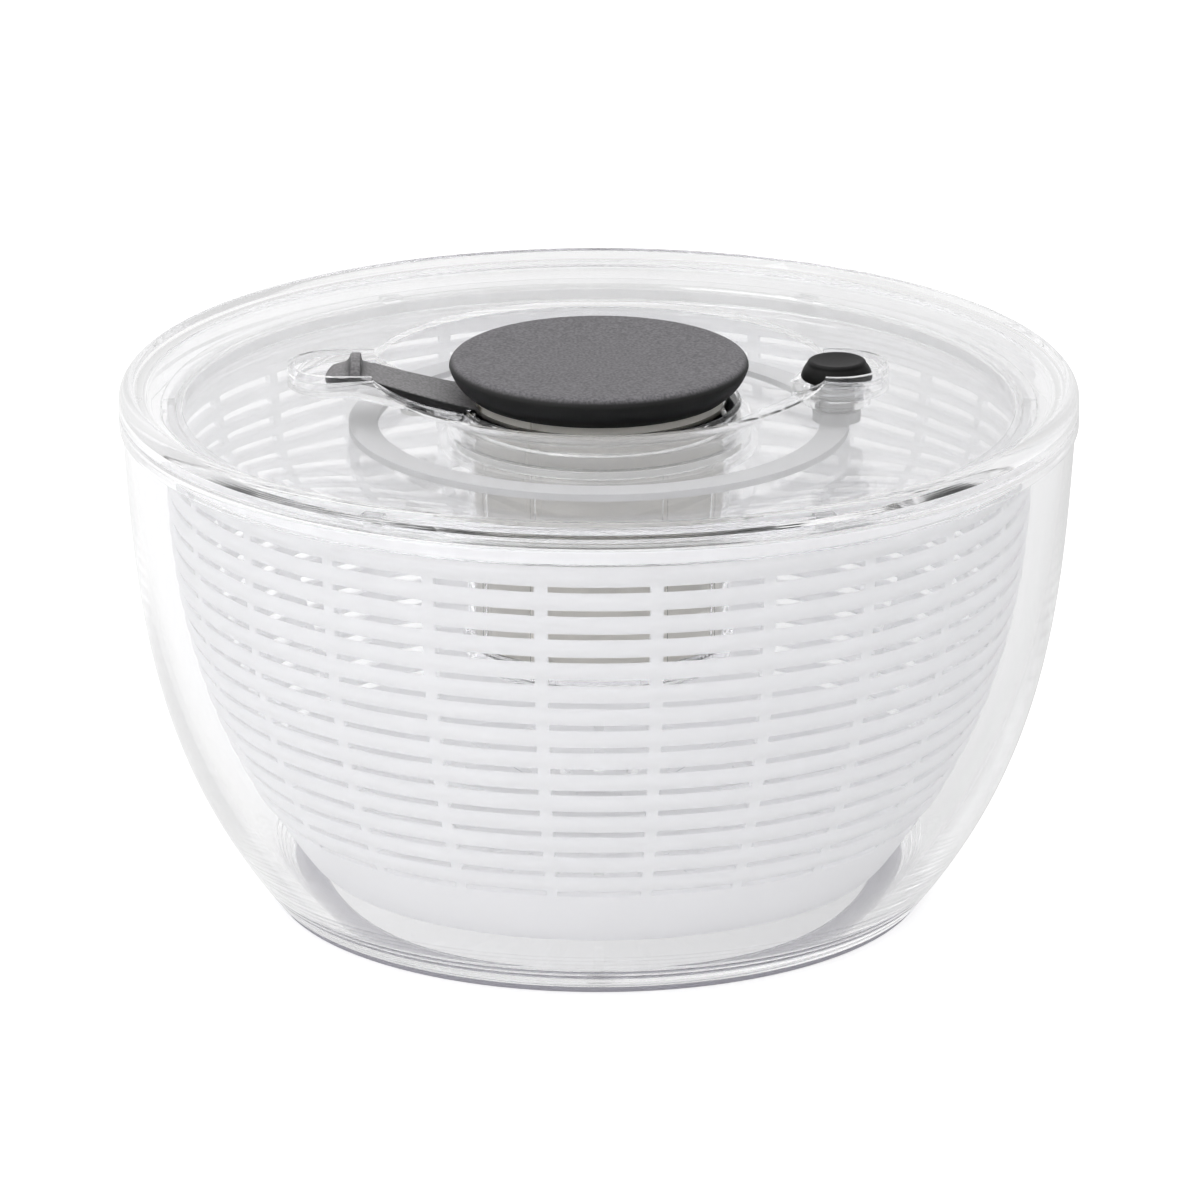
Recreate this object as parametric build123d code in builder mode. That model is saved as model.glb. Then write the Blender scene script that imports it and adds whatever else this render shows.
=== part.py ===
"""Pump salad spinner: clear bowl, slotted basket, and a lid with a locking pump knob and a brake.

Millimetres. +Z is up, the origin is the centre of the base, the lock lever points along -X
and the brake button lies along +X. The knob is modelled locked down.
"""

import math
import os
from build123d import *

os.makedirs("parts", exist_ok=True)

# Clearances
slide_gap = 0.35  # round faces of pieces that move past each other
face_gap = 0.3  # flat faces of pieces that move past each other
running_gap = 0.06  # radial, a shaft in its bore
fit_gap = 0.1  # radial, pieces that are snapped together
cut_past = 10.0  # how far a cutting shape runs past the piece it cuts

# Bowl
rim_radius = 133.35
base_radius = 90.8
bowl_height = 140.8
bowl_wall = 2.6
bowl_floor = 3.0
bead_height = 4.8
bead_width = 3.5
bead_round = 1.4
grip_height = 2.2
grip_width = 11.0
inner_foot_inset = 3.7  # the inside's foot stands this far in from the base
pin_boss_radius = 8.0
pin_boss_height = 3.6

# Basket
basket_side_gap = 13.55  # the basket's rim stands this far in from the bowl's
basket_radius = rim_radius - basket_side_gap
basket_foot_gap = 3.8  # the basket's foot stands this far in from the bowl's base
basket_foot_radius = base_radius - basket_foot_gap
basket_bottom = 14.0
basket_rim_gap = 2.6  # the basket's rim stands this far below the bowl's
basket_wall = 2.0
basket_floor = 2.0
slot_rows = 15
slot_height = 2.1
slot_rise = 16.7  # first row of slots above the basket's bottom
rim_band = 13.7  # basket's rim above the last row of slots
slot_pitch = (bowl_height - basket_rim_gap - basket_bottom - slot_rise - rim_band) / (slot_rows - 1)
rib_count = 24
rib_width = 3.0
foot_width = 12.0
foot_reach = 9.0
hub_radius = 7.6
cone_radius = 16.0
floor_slot_count = 24
floor_slot_inset = 7.0  # floor slots end this far in from the basket's foot
floor_slot_radii = (34.0, 58.0, basket_foot_radius - floor_slot_inset)

# Pivot
pin_radius = 3.0
pin_length = 13.4
cup_radius = 5.3
cup_floor = 2.7

# Plunger's radius, which the throat, the knob, the wells and the pump follow
plunger_radius = 34.6
plunger_wall = 1.8
throat_radius = plunger_radius + slide_gap + fit_gap

# Lid
lid_wall = 2.1
lid_rim_rise = 7.0  # rim above the bowl's rim
lid_rim_width = 6.85
lid_edge_radius = rim_radius - lid_rim_width
lid_edge_rise = 4.5
lid_skirt_wall = 2.0
lid_skirt_step = 1.0  # skirt's outer face outside the deck's edge
lid_bead_width = 3.95
crater_sag = 1.9
deck_crown = 0.7
lid_skirt_depth = 6.2
crater_width = 28.95
crater_radius = throat_radius + crater_width
crater_rise = 10.7
collar_width = 3.85
collar_radius = throat_radius + collar_width
collar_rise = 1.8
throat_depth = 8.8  # the throat's foot below the bowl's rim
throat_wall = 3.2
key_count = 3
key_width = 3.0
key_depth = 0.7
well_lip_rise = 11.6

# Pump
plunger_length = 73.0
pump_travel = 38.0
knob_rise = 13.6  # knob's top above the bowl's rim
knob_height = 9.6
knob_round = 1.6
knob_dish = 0.5
core_lip = 0.4  # the core's edge outside the tube
core_radius = plunger_radius + core_lip
core_height = 5.2
knob_skin = 1.6
knob_foot_radius = core_radius + knob_skin
knob_overhang = 5.0
knob_radius = knob_foot_radius + knob_overhang
nut_rise = 24.6  # nut plate above the plunger tube's foot
nut_plate = 2.4
nut_hub_radius = 11.0
nut_hub_height = 8.0
nut_hole_radius = 3.4
nut_hole_inset = 6.0  # holes' centres inside the tube's inner face
nut_hole_place = plunger_radius - plunger_wall - nut_hole_inset
nut_hole_count = 6
lead = 48.0  # height of one turn of the spindle
fin_length = 12.4
fin_width = 3.0
fin_core_radius = 3.6
spindle_gap = 0.3

# Drive disc, its housing and its clutch
disc_overhang = 1.8  # the disc's rim outside the basket's
disc_radius = basket_radius + disc_overhang
disc_rim_height = 1.6
disc_spigot_depth = 4.0
disc_spigot_wall = 2.0
disc_web = 1.6
disc_web_drop = 12.0  # the flat web's underside below the bowl's rim
disc_hub_wall = 2.2
disc_hub_drop = 4.0  # hub's top below the bowl's rim
ring_lip = 1.5
ring_height = 1.9
housing_wall = 1.2
housing_flange = 1.6
housing_rib_count = 12
housing_rib_depth = 0.6
housing_rib_width = 1.4
housing_foot_gap = 2.6  # tube's foot above the cap's floor, with the knob locked down
cap_height = 8.0
cap_floor = 2.2
cap_flare = 0.9
cap_round = 3.0
lug_count = 6
lug_width = 6.0
lug_height = 2.4
tooth_count = 12
tooth_height = 1.6
tooth_width = 4.5
ratchet_base = 1.4
clutch_height = 2.4
spring_inset = 6.8  # the spring's wire inside the nut's holes
spring_radius = nut_hole_place - spring_inset
spring_wire = 1.5
ratchet_inset = 6.0
ratchet_radius = spring_radius - ratchet_inset
spring_turns = 8
washer_height = 1.0

# Lock lever
well_radius = 12.1
well_depth = 5.9
well_wall = 1.5
lever_width = 22.6
lever_tail_width = 17.0
lever_end_rise = 1.7
lever_fin_foot_rise = 9.3
fin_top_rise = 14.2
fin_thickness = 2.4
lever_travel = 4.5
lever_throw_in = 1.7
lever_thickness = 2.6
fin_reach = 31.4  # fin's inner face outside the plunger
fin_place = plunger_radius + fin_reach
tail_length = 10.0
tail_end = fin_place + tail_length
well_room = 8.9  # well's end past the lever's tail
well_end = tail_end + well_room
stem_reach = 15.4
stem_place = plunger_radius + stem_reach
stem_radius = 2.5
clip_radius = 5.0
clip_height = 1.6
clip_rise = -3.6

# Brake
button_reach = 31.4  # button's axis outside the plunger
button_place = plunger_radius + button_reach
button_radius = 9.95
button_top_radius = 7.35
button_height = 5.8
button_rise = 13.3
button_dish = 0.8
button_well_radius = 12.9
button_well_depth = 6.8
spring_pocket_depth = 4.2
brake_spring_radius = 7.0
brake_spring_wire = 0.9
brake_spring_turns = 4
post_head_radius = 8.2
post_head_height = 1.9
brake_travel = 2.2
post_radius = 5.0
pad_inset = 0.5
pad_radius = button_place - pad_inset
pad_width = 8.0
pad_height = 2.0
pad_socket_height = 3.0
disc_flat_width = 8.5
disc_flat_radius = pad_radius + disc_flat_width

# Heights that follow from the sizes above
lid_rim_z = bowl_height + lid_rim_rise
lid_edge_z = bowl_height + lid_edge_rise
crater_z = bowl_height + crater_rise
collar_z = bowl_height + collar_rise
lip_z = bowl_height + well_lip_rise
throat_z = bowl_height - throat_depth
throat_outer = throat_radius + throat_wall
floor_z = grip_height + bowl_floor
basket_top = bowl_height - basket_rim_gap
knob_top = bowl_height + knob_rise
knob_foot = knob_top - knob_height
tube_foot = knob_foot - plunger_length
tube_inner = plunger_radius - plunger_wall
cap_floor_z = tube_foot - housing_foot_gap
housing_bottom = cap_floor_z - cap_floor
web_z = bowl_height - disc_web_drop
housing_radius = plunger_radius + slide_gap + fit_gap
housing_outer = housing_radius + housing_wall
lever_end_z = bowl_height + lever_end_rise
lever_fin_foot_z = bowl_height + lever_fin_foot_rise
fin_top_z = bowl_height + fin_top_rise
clip_z = bowl_height + clip_rise
lever_slope = (lever_fin_foot_z - lever_end_z) / (fin_place - plunger_radius)
channel_gap = lever_slope * lever_travel + face_gap  # lets the sloping arm slide outwards
well_floor_z = lip_z - well_depth
slope_end = plunger_radius + (well_floor_z + lever_thickness + channel_gap - lever_end_z) / lever_slope


def bowl_radius(height_share, low, high):
    """Radius of the bowl's curve at a share of its height, between its foot and its rim."""
    swell = 0.78 * (1 - (1 - height_share) ** 3.2) + 0.22 * height_share
    return low + (high - low) * swell


def bowl_curve(low_radius, high_radius, low_z, high_z):
    """Points from the rim down to the foot of one side of the bowl's wall."""
    shares = (1.0, 0.75, 0.5, 0.28, 0.13, 0.05, 0.0)
    return [
        (bowl_radius(share, low_radius, high_radius), low_z + (high_z - low_z) * share)
        for share in shares
    ]


def basket_curve(z, inset=0.0):
    """A point of the basket's side at a height, moved inwards by inset."""
    share = (z - basket_bottom) / (basket_top - basket_bottom)
    radius = basket_foot_radius + (basket_radius - basket_foot_radius) * (1 - (1 - share) ** 2.6)
    return (radius - inset, z)


def dished(radius, rim_height, depth):
    """An arc from a rim in to the axis, the section of a shallow ball-shaped dish."""
    ball = (radius**2 + depth**2) / (2 * depth)
    middle_height = rim_height - depth + ball - math.sqrt(ball**2 - (radius / 2) ** 2)
    return ThreePointArc((radius, rim_height), (radius / 2, middle_height), (0, rim_height - depth))


def radial_plane(angle, radius, height):
    """A plane that faces outwards at an angle round the axis, with its y axis up."""
    turn = math.radians(angle)
    return Plane(
        origin=(radius * math.cos(turn), radius * math.sin(turn), height),
        x_dir=(-math.sin(turn), math.cos(turn), 0),
        z_dir=(math.cos(turn), math.sin(turn), 0),
    )


def finish(part, name):
    """Label a finished piece and write its file."""
    part.label = name
    export_step(part, f"parts/{name}.step")


# ---------------------------------------------------------------- bowl side
with BuildPart() as bowl:
    with BuildSketch(Plane.XZ):
        with BuildLine():
            neck = rim_radius - 0.9
            foot = bowl_radius(grip_height / bowl_height, base_radius, neck)
            mouth = rim_radius - bead_width
            inner_foot = base_radius - inner_foot_inset
            Polyline((0, grip_height + 1), (base_radius - grip_width, grip_height + 1),
                     (base_radius - grip_width, grip_height), (foot, grip_height))
            Spline(*reversed(bowl_curve(foot, neck, grip_height, bowl_height - bead_height)))
            Polyline((neck, bowl_height - bead_height), (rim_radius, bowl_height - bead_height + 0.9),
                     (rim_radius, bowl_height - bead_round))
            ThreePointArc((rim_radius, bowl_height - bead_round),
                          (rim_radius - 0.3 * bead_round, bowl_height - 0.3 * bead_round),
                          (rim_radius - bead_round, bowl_height))
            Line((rim_radius - bead_round, bowl_height), (mouth, bowl_height))
            Spline(*bowl_curve(inner_foot, mouth, floor_z, bowl_height))
            Polyline((inner_foot, floor_z), (0, floor_z), (0, grip_height + 1))
        make_face()
    revolve(axis=Axis.Z)
    with BuildSketch(Plane.XY.offset(floor_z)):
        Circle(pin_boss_radius)
    extrude(amount=pin_boss_height)
    with BuildSketch(Plane.XY.offset(floor_z)):
        Circle(pin_radius)
    extrude(amount=pin_boss_height, mode=Mode.SUBTRACT)
finish(bowl.part, "bowl")

with BuildPart() as base_grip_ring:
    with BuildSketch(Plane.XZ):
        with BuildLine():
            Polyline((base_radius - grip_width, 0.4), (base_radius - grip_width + 0.4, 0), (base_radius, 0),
                     (foot, grip_height), (base_radius - grip_width, grip_height), close=True)
        make_face()
    revolve(axis=Axis.Z)
finish(base_grip_ring.part, "base_grip_ring")

pin_top = floor_z + pin_length
with BuildPart() as pivot_pin:
    with BuildSketch(Plane.XY.offset(floor_z)):
        Circle(pin_radius)
    extrude(amount=pin_length)
    fillet(pivot_pin.edges().group_by(Axis.Z)[-1], pin_radius * 0.6)
finish(pivot_pin.part, "pivot_pin")

# ---------------------------------------------------------------- basket
cup_top = pin_top + cup_floor
with BuildPart() as pivot_cup:
    with BuildSketch(Plane.XY.offset(basket_bottom - 2)):
        Circle(cup_radius)
    extrude(amount=cup_top - basket_bottom + 2)
    with BuildSketch(Plane.XY.offset(basket_bottom - 2)):
        Circle(pin_radius + running_gap)
    extrude(amount=pin_top - basket_bottom + 2, mode=Mode.SUBTRACT)
finish(pivot_cup.part, "pivot_cup")

row_heights = [basket_bottom + slot_rise + slot_pitch * row for row in range(slot_rows)]
band_edges = [basket_bottom + basket_floor, *[z + slot_pitch / 2 for z in row_heights[:-1]], basket_top]
hub_bore_top = cup_top + face_gap
hub_top = hub_bore_top + basket_floor

with BuildPart() as slot_column:
    for height in row_heights:
        middle_radius = basket_curve(height)[0] - basket_wall / 2
        with BuildSketch(Plane.XZ):
            with Locations((middle_radius, height)):
                Rectangle(4 * basket_wall, slot_height)
        revolve(axis=Axis.Z, revolution_arc=360 / rib_count - math.degrees(rib_width / middle_radius))

with BuildPart() as floor_slots:
    for near, far in zip(floor_slot_radii, floor_slot_radii[1:]):
        with BuildSketch(Plane.XY.offset(basket_bottom)):
            with PolarLocations((near + far) / 2, floor_slot_count):
                SlotOverall(far - near - 4, 3.0)
        extrude(amount=basket_floor)

with BuildPart() as basket:
    with BuildSketch(Plane.XZ):
        with BuildLine():
            outer = [basket_curve(basket_bottom), *[basket_curve(z) for z in band_edges]]
            inner = [basket_curve(z, basket_wall) for z in reversed(band_edges)]
            Polyline((0, basket_bottom), *outer, *inner, (0, basket_bottom + basket_floor), close=True)
        make_face()
    revolve(axis=Axis.Z)
    with BuildSketch(Plane.XZ):
        with BuildLine():
            Polyline((0, basket_bottom - 1), (hub_radius, basket_bottom - 1), (hub_radius, basket_bottom),
                     (cone_radius, basket_bottom), (cone_radius, basket_bottom + basket_floor),
                     (hub_radius, hub_top - 2.5), (hub_radius - 1.5, hub_top), (0, hub_top), close=True)
        make_face()
    revolve(axis=Axis.Z)
    with BuildSketch(Plane.XY.offset(basket_bottom - 1)):
        Circle(cup_radius + running_gap)
    extrude(amount=hub_bore_top - basket_bottom + 1, mode=Mode.SUBTRACT)
    with PolarLocations(0, rib_count, start_angle=0.5 * 360 / rib_count):
        add(slot_column.part, mode=Mode.SUBTRACT)
    add(floor_slots.part, mode=Mode.SUBTRACT)
    for side in (0, 180):
        with BuildSketch(radial_plane(side, basket_foot_radius - 5, basket_bottom + basket_floor)):
            with Locations((0, -foot_reach / 2)):
                RectangleRounded(foot_width, foot_reach + basket_floor, 3)
        extrude(amount=3)
    with BuildSketch(Plane.XY.offset(basket_top - lug_height - face_gap)):
        with PolarLocations(basket_radius, lug_count):
            Rectangle(4 * basket_wall, lug_width + 2 * slide_gap)
    extrude(amount=lug_height + face_gap, mode=Mode.SUBTRACT)
finish(basket.part, "basket")

# ---------------------------------------------------------------- lid
rim_inner = rim_radius - lid_bead_width
skirt_outer = lid_edge_radius + lid_skirt_step
skirt_inner = skirt_outer - lid_skirt_wall
dish_foot = (collar_radius + 0.7, collar_z - 1.0)
crater_edge = (crater_radius, crater_z)
deck_edge = (lid_edge_radius, lid_edge_z)
under_dish_foot = (throat_outer, collar_z - lid_wall - 1.0)
under_crater_edge = (crater_radius, crater_z - lid_wall)
under_deck_edge = (skirt_inner, lid_edge_z - lid_wall)


def sagged(start, end, sag):
    """An arc from start to end whose middle is moved up by sag."""
    middle = ((start[0] + end[0]) / 2, (start[1] + end[1]) / 2 + sag)
    return ThreePointArc(start, middle, end)


def lever_floor(x):
    """Height of the lever's underside at a place along -X, between its fin and its inner end."""
    return lever_end_z + lever_slope * (x - plunger_radius) - lever_thickness


# The space that the lever lies and slides in, and the walls round it
with BuildPart() as lever_space:
    with BuildSketch(Plane.XY.offset(throat_z)):
        with BuildLine():
            Line((-throat_radius + 2, well_radius), (-well_end + well_radius, well_radius))
            ThreePointArc((-well_end + well_radius, well_radius), (-well_end, 0),
                          (-well_end + well_radius, -well_radius))
            Polyline((-well_end + well_radius, -well_radius), (-throat_radius + 2, -well_radius),
                     (-throat_radius + 2, well_radius))
        make_face()
    extrude(amount=lip_z - throat_z + cut_past)
    with BuildSketch(Plane.XZ):
        with BuildLine():
            Polyline((-well_end, well_floor_z), (-slope_end, well_floor_z),
                     (-throat_radius + 2, lever_floor(throat_radius - 2) - channel_gap),
                     (-throat_radius + 2, lip_z + cut_past), (-well_end, lip_z + cut_past), close=True)
        make_face()
    extrude(amount=well_radius, both=True, mode=Mode.INTERSECT)

with BuildPart() as lever_walls:
    with BuildSketch(Plane.XY.offset(throat_z)):
        with BuildLine():
            wall_half = well_radius + well_wall
            Line((-throat_outer, wall_half), (-well_end + well_radius, wall_half))
            ThreePointArc((-well_end + well_radius, wall_half), (-well_end - well_wall, 0),
                          (-well_end + well_radius, -wall_half))
            Polyline((-well_end + well_radius, -wall_half), (-throat_outer, -wall_half),
                     (-throat_outer, wall_half))
        make_face()
    extrude(amount=lip_z - throat_z)
    with BuildSketch(Plane.XZ):
        with BuildLine():
            Polyline((-well_end - well_wall, well_floor_z - well_wall),
                     (-slope_end, well_floor_z - well_wall),
                     (-throat_outer, lever_floor(throat_outer) - channel_gap - well_wall),
                     (-throat_outer, lip_z), (-well_end - well_wall, lip_z), close=True)
        make_face()
    extrude(amount=wall_half, both=True, mode=Mode.INTERSECT)

with BuildPart() as well_envelope:
    with BuildSketch(Plane.XZ):
        with BuildLine():
            Polyline(crater_edge, (crater_radius, lip_z), (well_end + 2 * well_wall, lip_z),
                     (well_end + 2 * well_wall, throat_z), (throat_outer - 0.5, throat_z),
                     (throat_outer - 0.5, dish_foot[1]), dish_foot)
            sagged(dish_foot, crater_edge, -crater_sag)
        make_face()
    revolve(axis=Axis.Z)

button_floor_z = lip_z - button_well_depth
spring_pocket_z = button_floor_z - spring_pocket_depth
with BuildPart() as button_walls:
    with BuildSketch(Plane.XY.offset(button_floor_z - well_wall)):
        with Locations((button_place, 0)):
            Circle(button_well_radius + well_wall)
    extrude(amount=button_well_depth + well_wall)
    with BuildSketch(Plane.XY.offset(spring_pocket_z - well_wall)):
        with Locations((button_place, 0)):
            Circle(brake_spring_radius + brake_spring_wire + well_wall)
    extrude(amount=spring_pocket_depth + well_wall)

with BuildPart() as well_walls:
    add(lever_walls.part)
    add(button_walls.part)
    add(well_envelope.part, mode=Mode.INTERSECT)

with BuildPart() as lid_cover:
    with BuildSketch(Plane.XZ):
        with BuildLine():
            Polyline((throat_radius, throat_z), (throat_radius, collar_z), (collar_radius, collar_z),
                     dish_foot)
            sagged(dish_foot, crater_edge, -crater_sag)
            sagged(crater_edge, deck_edge, deck_crown)
            Line(deck_edge, (rim_inner, lid_rim_z))
            ThreePointArc((rim_inner, lid_rim_z), (rim_radius - 1.1, lid_rim_z - 1.25),
                          (rim_radius, bowl_height + 2.9))
            Polyline((rim_radius, bowl_height + 2.9), (rim_radius, bowl_height + 1.1),
                     (rim_radius - 1.2, bowl_height), (mouth + 0.4, bowl_height),
                     (mouth + 0.4, lid_edge_z - lid_wall), (skirt_outer, lid_edge_z - lid_wall),
                     (skirt_outer, bowl_height - lid_skirt_depth),
                     (skirt_inner, bowl_height - lid_skirt_depth),
                     under_deck_edge)
            sagged(under_deck_edge, under_crater_edge, deck_crown)
            sagged(under_crater_edge, under_dish_foot, -crater_sag)
            Polyline(under_dish_foot, (throat_outer, throat_z), (throat_radius, throat_z))
        make_face()
    revolve(axis=Axis.Z)
    add(well_walls.part)
    add(lever_space.part, mode=Mode.SUBTRACT)
    with BuildSketch(Plane.XY.offset(throat_z)):
        with PolarLocations(throat_radius - key_depth / 2, key_count):
            Rectangle(key_depth + slide_gap + 2 * fit_gap, key_width)
    extrude(amount=collar_z - throat_z - 1)
    with BuildSketch(Plane.XY.offset(button_floor_z)):
        with Locations((button_place, 0)):
            Circle(button_well_radius)
    extrude(amount=button_well_depth + cut_past, mode=Mode.SUBTRACT)
    with BuildSketch(Plane.XY.offset(spring_pocket_z)):
        with Locations((button_place, 0)):
            Circle(brake_spring_radius + brake_spring_wire)
    extrude(amount=spring_pocket_depth, mode=Mode.SUBTRACT)
    with BuildSketch(Plane.XY.offset(spring_pocket_z - well_wall)):
        with Locations((button_place, 0)):
            Circle(post_radius + running_gap)
    extrude(amount=well_wall, mode=Mode.SUBTRACT)
    with BuildSketch(Plane.XY.offset(throat_z)):
        with Locations((-stem_place + (lever_throw_in - lever_travel) / 2, 0)):
            SlotOverall(lever_travel + lever_throw_in + 2 * stem_radius + 2 * slide_gap,
                        2 * stem_radius + 2 * slide_gap)
    extrude(amount=lip_z - throat_z, mode=Mode.SUBTRACT)
finish(lid_cover.part, "lid_cover")

with BuildPart() as retaining_ring:
    with BuildSketch(Plane.XY.offset(throat_z - ring_height)):
        Circle(throat_outer + ring_lip)
        Circle(throat_radius + slide_gap, mode=Mode.SUBTRACT)
    extrude(amount=ring_height)
finish(retaining_ring.part, "retaining_ring")

# ---------------------------------------------------------------- lock lever
with BuildPart() as lock_lever:
    with BuildSketch(Plane.XY.offset(throat_z)):
        with BuildLine():
            tail_half = lever_tail_width / 2
            end_half = lever_width / 2
            Polyline((-plunger_radius + 2, end_half), (-tail_end + tail_half, tail_half))
            ThreePointArc((-tail_end + tail_half, tail_half), (-tail_end, 0),
                          (-tail_end + tail_half, -tail_half))
            Polyline((-tail_end + tail_half, -tail_half), (-plunger_radius + 2, -end_half),
                     (-plunger_radius + 2, end_half))
        make_face()
    extrude(amount=lip_z - throat_z + cut_past)
    with BuildSketch(Plane.XZ):
        with BuildLine():
            tail_top = (-tail_end, lever_fin_foot_z - 0.6)
            tail_root = (-fin_place - fin_thickness, lever_fin_foot_z + 0.6)
            fin_outer = (-fin_place - 0.8 * fin_thickness, fin_top_z)
            fin_inner = (-fin_place, fin_top_z)
            fin_foot = (-fin_place + 3.2, lever_fin_foot_z)
            arm_end = (-plunger_radius + 2, lever_end_z)
            Polyline(tail_top, tail_root, fin_outer, fin_inner)
            ThreePointArc(fin_inner, (-fin_place + 0.7, (fin_top_z + 2 * lever_fin_foot_z) / 3), fin_foot)
            sagged(fin_foot, arm_end, -0.5)
            Polyline(arm_end, (-plunger_radius + 2, lever_end_z - lever_thickness),
                     (-fin_place, lever_fin_foot_z - lever_thickness),
                     (-tail_end, lever_fin_foot_z - lever_thickness), tail_top)
        make_face()
    extrude(amount=lever_width, both=True, mode=Mode.INTERSECT)
    with BuildSketch(Plane.XY.offset(clip_z)):
        with Locations((-stem_place, 0)):
            Circle(stem_radius)
    extrude(amount=lever_floor(stem_place) - clip_z + 1)
    with BuildSketch(Plane.XY.offset(throat_z)):
        Circle(plunger_radius + slide_gap)
    extrude(amount=lip_z - throat_z + cut_past, mode=Mode.SUBTRACT)
finish(lock_lever.part, "lock_lever")

with BuildPart() as lever_clip:
    with BuildSketch(Plane.XY.offset(clip_z)):
        with Locations((-stem_place, 0)):
            Circle(clip_radius)
            Circle(stem_radius, mode=Mode.SUBTRACT)
    extrude(amount=clip_height)
finish(lever_clip.part, "lever_clip")

# ---------------------------------------------------------------- brake
button_top = bowl_height + button_rise
button_foot = button_top - button_height
pad_z = web_z + disc_web + face_gap + brake_travel

with BuildPart() as brake_button:
    with BuildSketch(Plane.XZ):
        with BuildLine():
            head_top = button_foot + post_head_height
            Polyline((0, head_top), (post_head_radius, head_top), (post_head_radius, button_foot),
                     (button_radius, button_foot), (button_radius, button_foot + 0.7))
            ThreePointArc((button_radius, button_foot + 0.7),
                          (button_radius - 1.2, (button_foot + button_top) / 2),
                          (button_top_radius + 0.5, button_top - 0.7))
            ThreePointArc((button_top_radius + 0.5, button_top - 0.7),
                          (button_top_radius + 0.1, button_top - 0.1),
                          (button_top_radius - 0.5, button_top))
            dished(button_top_radius - 0.5, button_top, button_dish)
            Line((0, button_top - button_dish), (0, head_top))
        make_face()
    revolve(axis=Axis.Z)
brake_button_part = brake_button.part.moved(Location((button_place, 0, 0)))
finish(brake_button_part, "brake_button")

with BuildPart() as brake_post:
    with BuildSketch(Plane.XY.offset(button_foot)):
        with Locations((button_place, 0)):
            Circle(post_head_radius)
    extrude(amount=post_head_height)
    with BuildSketch(Plane.XY.offset(pad_z + pad_height)):
        with Locations((button_place, 0)):
            Circle(post_radius)
    extrude(amount=button_foot - pad_z - pad_height)
finish(brake_post.part, "brake_post")

with BuildPart() as brake_ring:
    with BuildSketch(Plane.XY.offset(pad_z)):
        Circle(pad_radius + pad_width / 2)
        Circle(pad_radius - pad_width / 2, mode=Mode.SUBTRACT)
    extrude(amount=pad_height)
    with BuildSketch(Plane.XY.offset(pad_z + pad_height)):
        with Locations((button_place, 0)):
            Circle(post_radius + fit_gap + 1.6)
            Circle(post_radius + fit_gap, mode=Mode.SUBTRACT)
    extrude(amount=pad_socket_height)
finish(brake_ring.part, "brake_ring")


def coil(radius, wire, turns, low, high):
    """A round-wire compression spring between two heights on the main axis."""
    centre_low = low + wire / 2
    height = high - low - wire
    with BuildPart() as spring:
        with BuildLine():
            Helix(height / turns, height, radius, center=(0, 0, centre_low))
        with BuildSketch(Plane(origin=(radius, 0, centre_low), x_dir=(1, 0, 0), z_dir=(0, 1, 0))):
            Circle(wire / 2)
        sweep(is_frenet=True)
    return spring.part


brake_spring_part = coil(brake_spring_radius, brake_spring_wire, brake_spring_turns,
                         spring_pocket_z, button_foot).moved(Location((button_place, 0, 0)))
finish(brake_spring_part, "brake_spring")

# ---------------------------------------------------------------- drive disc and housing
hub_inner = throat_outer + running_gap
counterbore = throat_outer + ring_lip + slide_gap
hub_outer = counterbore + disc_hub_wall
mouth_radius = basket_radius - basket_wall - slide_gap
flange_z = basket_top + face_gap

with BuildPart() as drive_disc:
    with BuildSketch(Plane.XZ):
        with BuildLine():
            Polyline((counterbore, web_z), (disc_flat_radius, web_z),
                     (mouth_radius - disc_spigot_wall, basket_top - disc_spigot_depth),
                     (mouth_radius, basket_top - disc_spigot_depth), (mouth_radius, flange_z),
                     (disc_radius, flange_z), (disc_radius, flange_z + disc_rim_height),
                     (mouth_radius - disc_spigot_wall, flange_z + disc_rim_height),
                     (mouth_radius - disc_spigot_wall, basket_top - disc_spigot_depth + disc_web),
                     (disc_flat_radius, web_z + disc_web), (hub_outer, web_z + disc_web),
                     (hub_outer, bowl_height - disc_hub_drop), (hub_inner, bowl_height - disc_hub_drop),
                     (hub_inner, throat_z + face_gap), (counterbore, throat_z + face_gap), close=True)
        make_face()
    revolve(axis=Axis.Z)
    with BuildSketch(Plane.XY.offset(flange_z - lug_height)):
        with PolarLocations((mouth_radius + disc_radius) / 2, lug_count):
            Rectangle(disc_radius - mouth_radius - 1, lug_width)
    extrude(amount=lug_height)
finish(drive_disc.part, "drive_disc")

housing_foot = cap_floor_z + cap_height / 2
with BuildPart() as pump_housing:
    with BuildSketch(Plane.XY.offset(housing_foot)):
        Circle(housing_outer)
        with PolarLocations(housing_outer, housing_rib_count):
            Rectangle(2 * housing_rib_depth, housing_rib_width)
    extrude(amount=web_z - housing_foot)
    with BuildSketch(Plane.XY.offset(web_z - housing_flange)):
        Circle(hub_outer + 2)
    extrude(amount=housing_flange)
    with BuildSketch(Plane.XY.offset(housing_foot)):
        Circle(housing_radius)
    extrude(amount=web_z - housing_foot, mode=Mode.SUBTRACT)
finish(pump_housing.part, "pump_housing")

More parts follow.
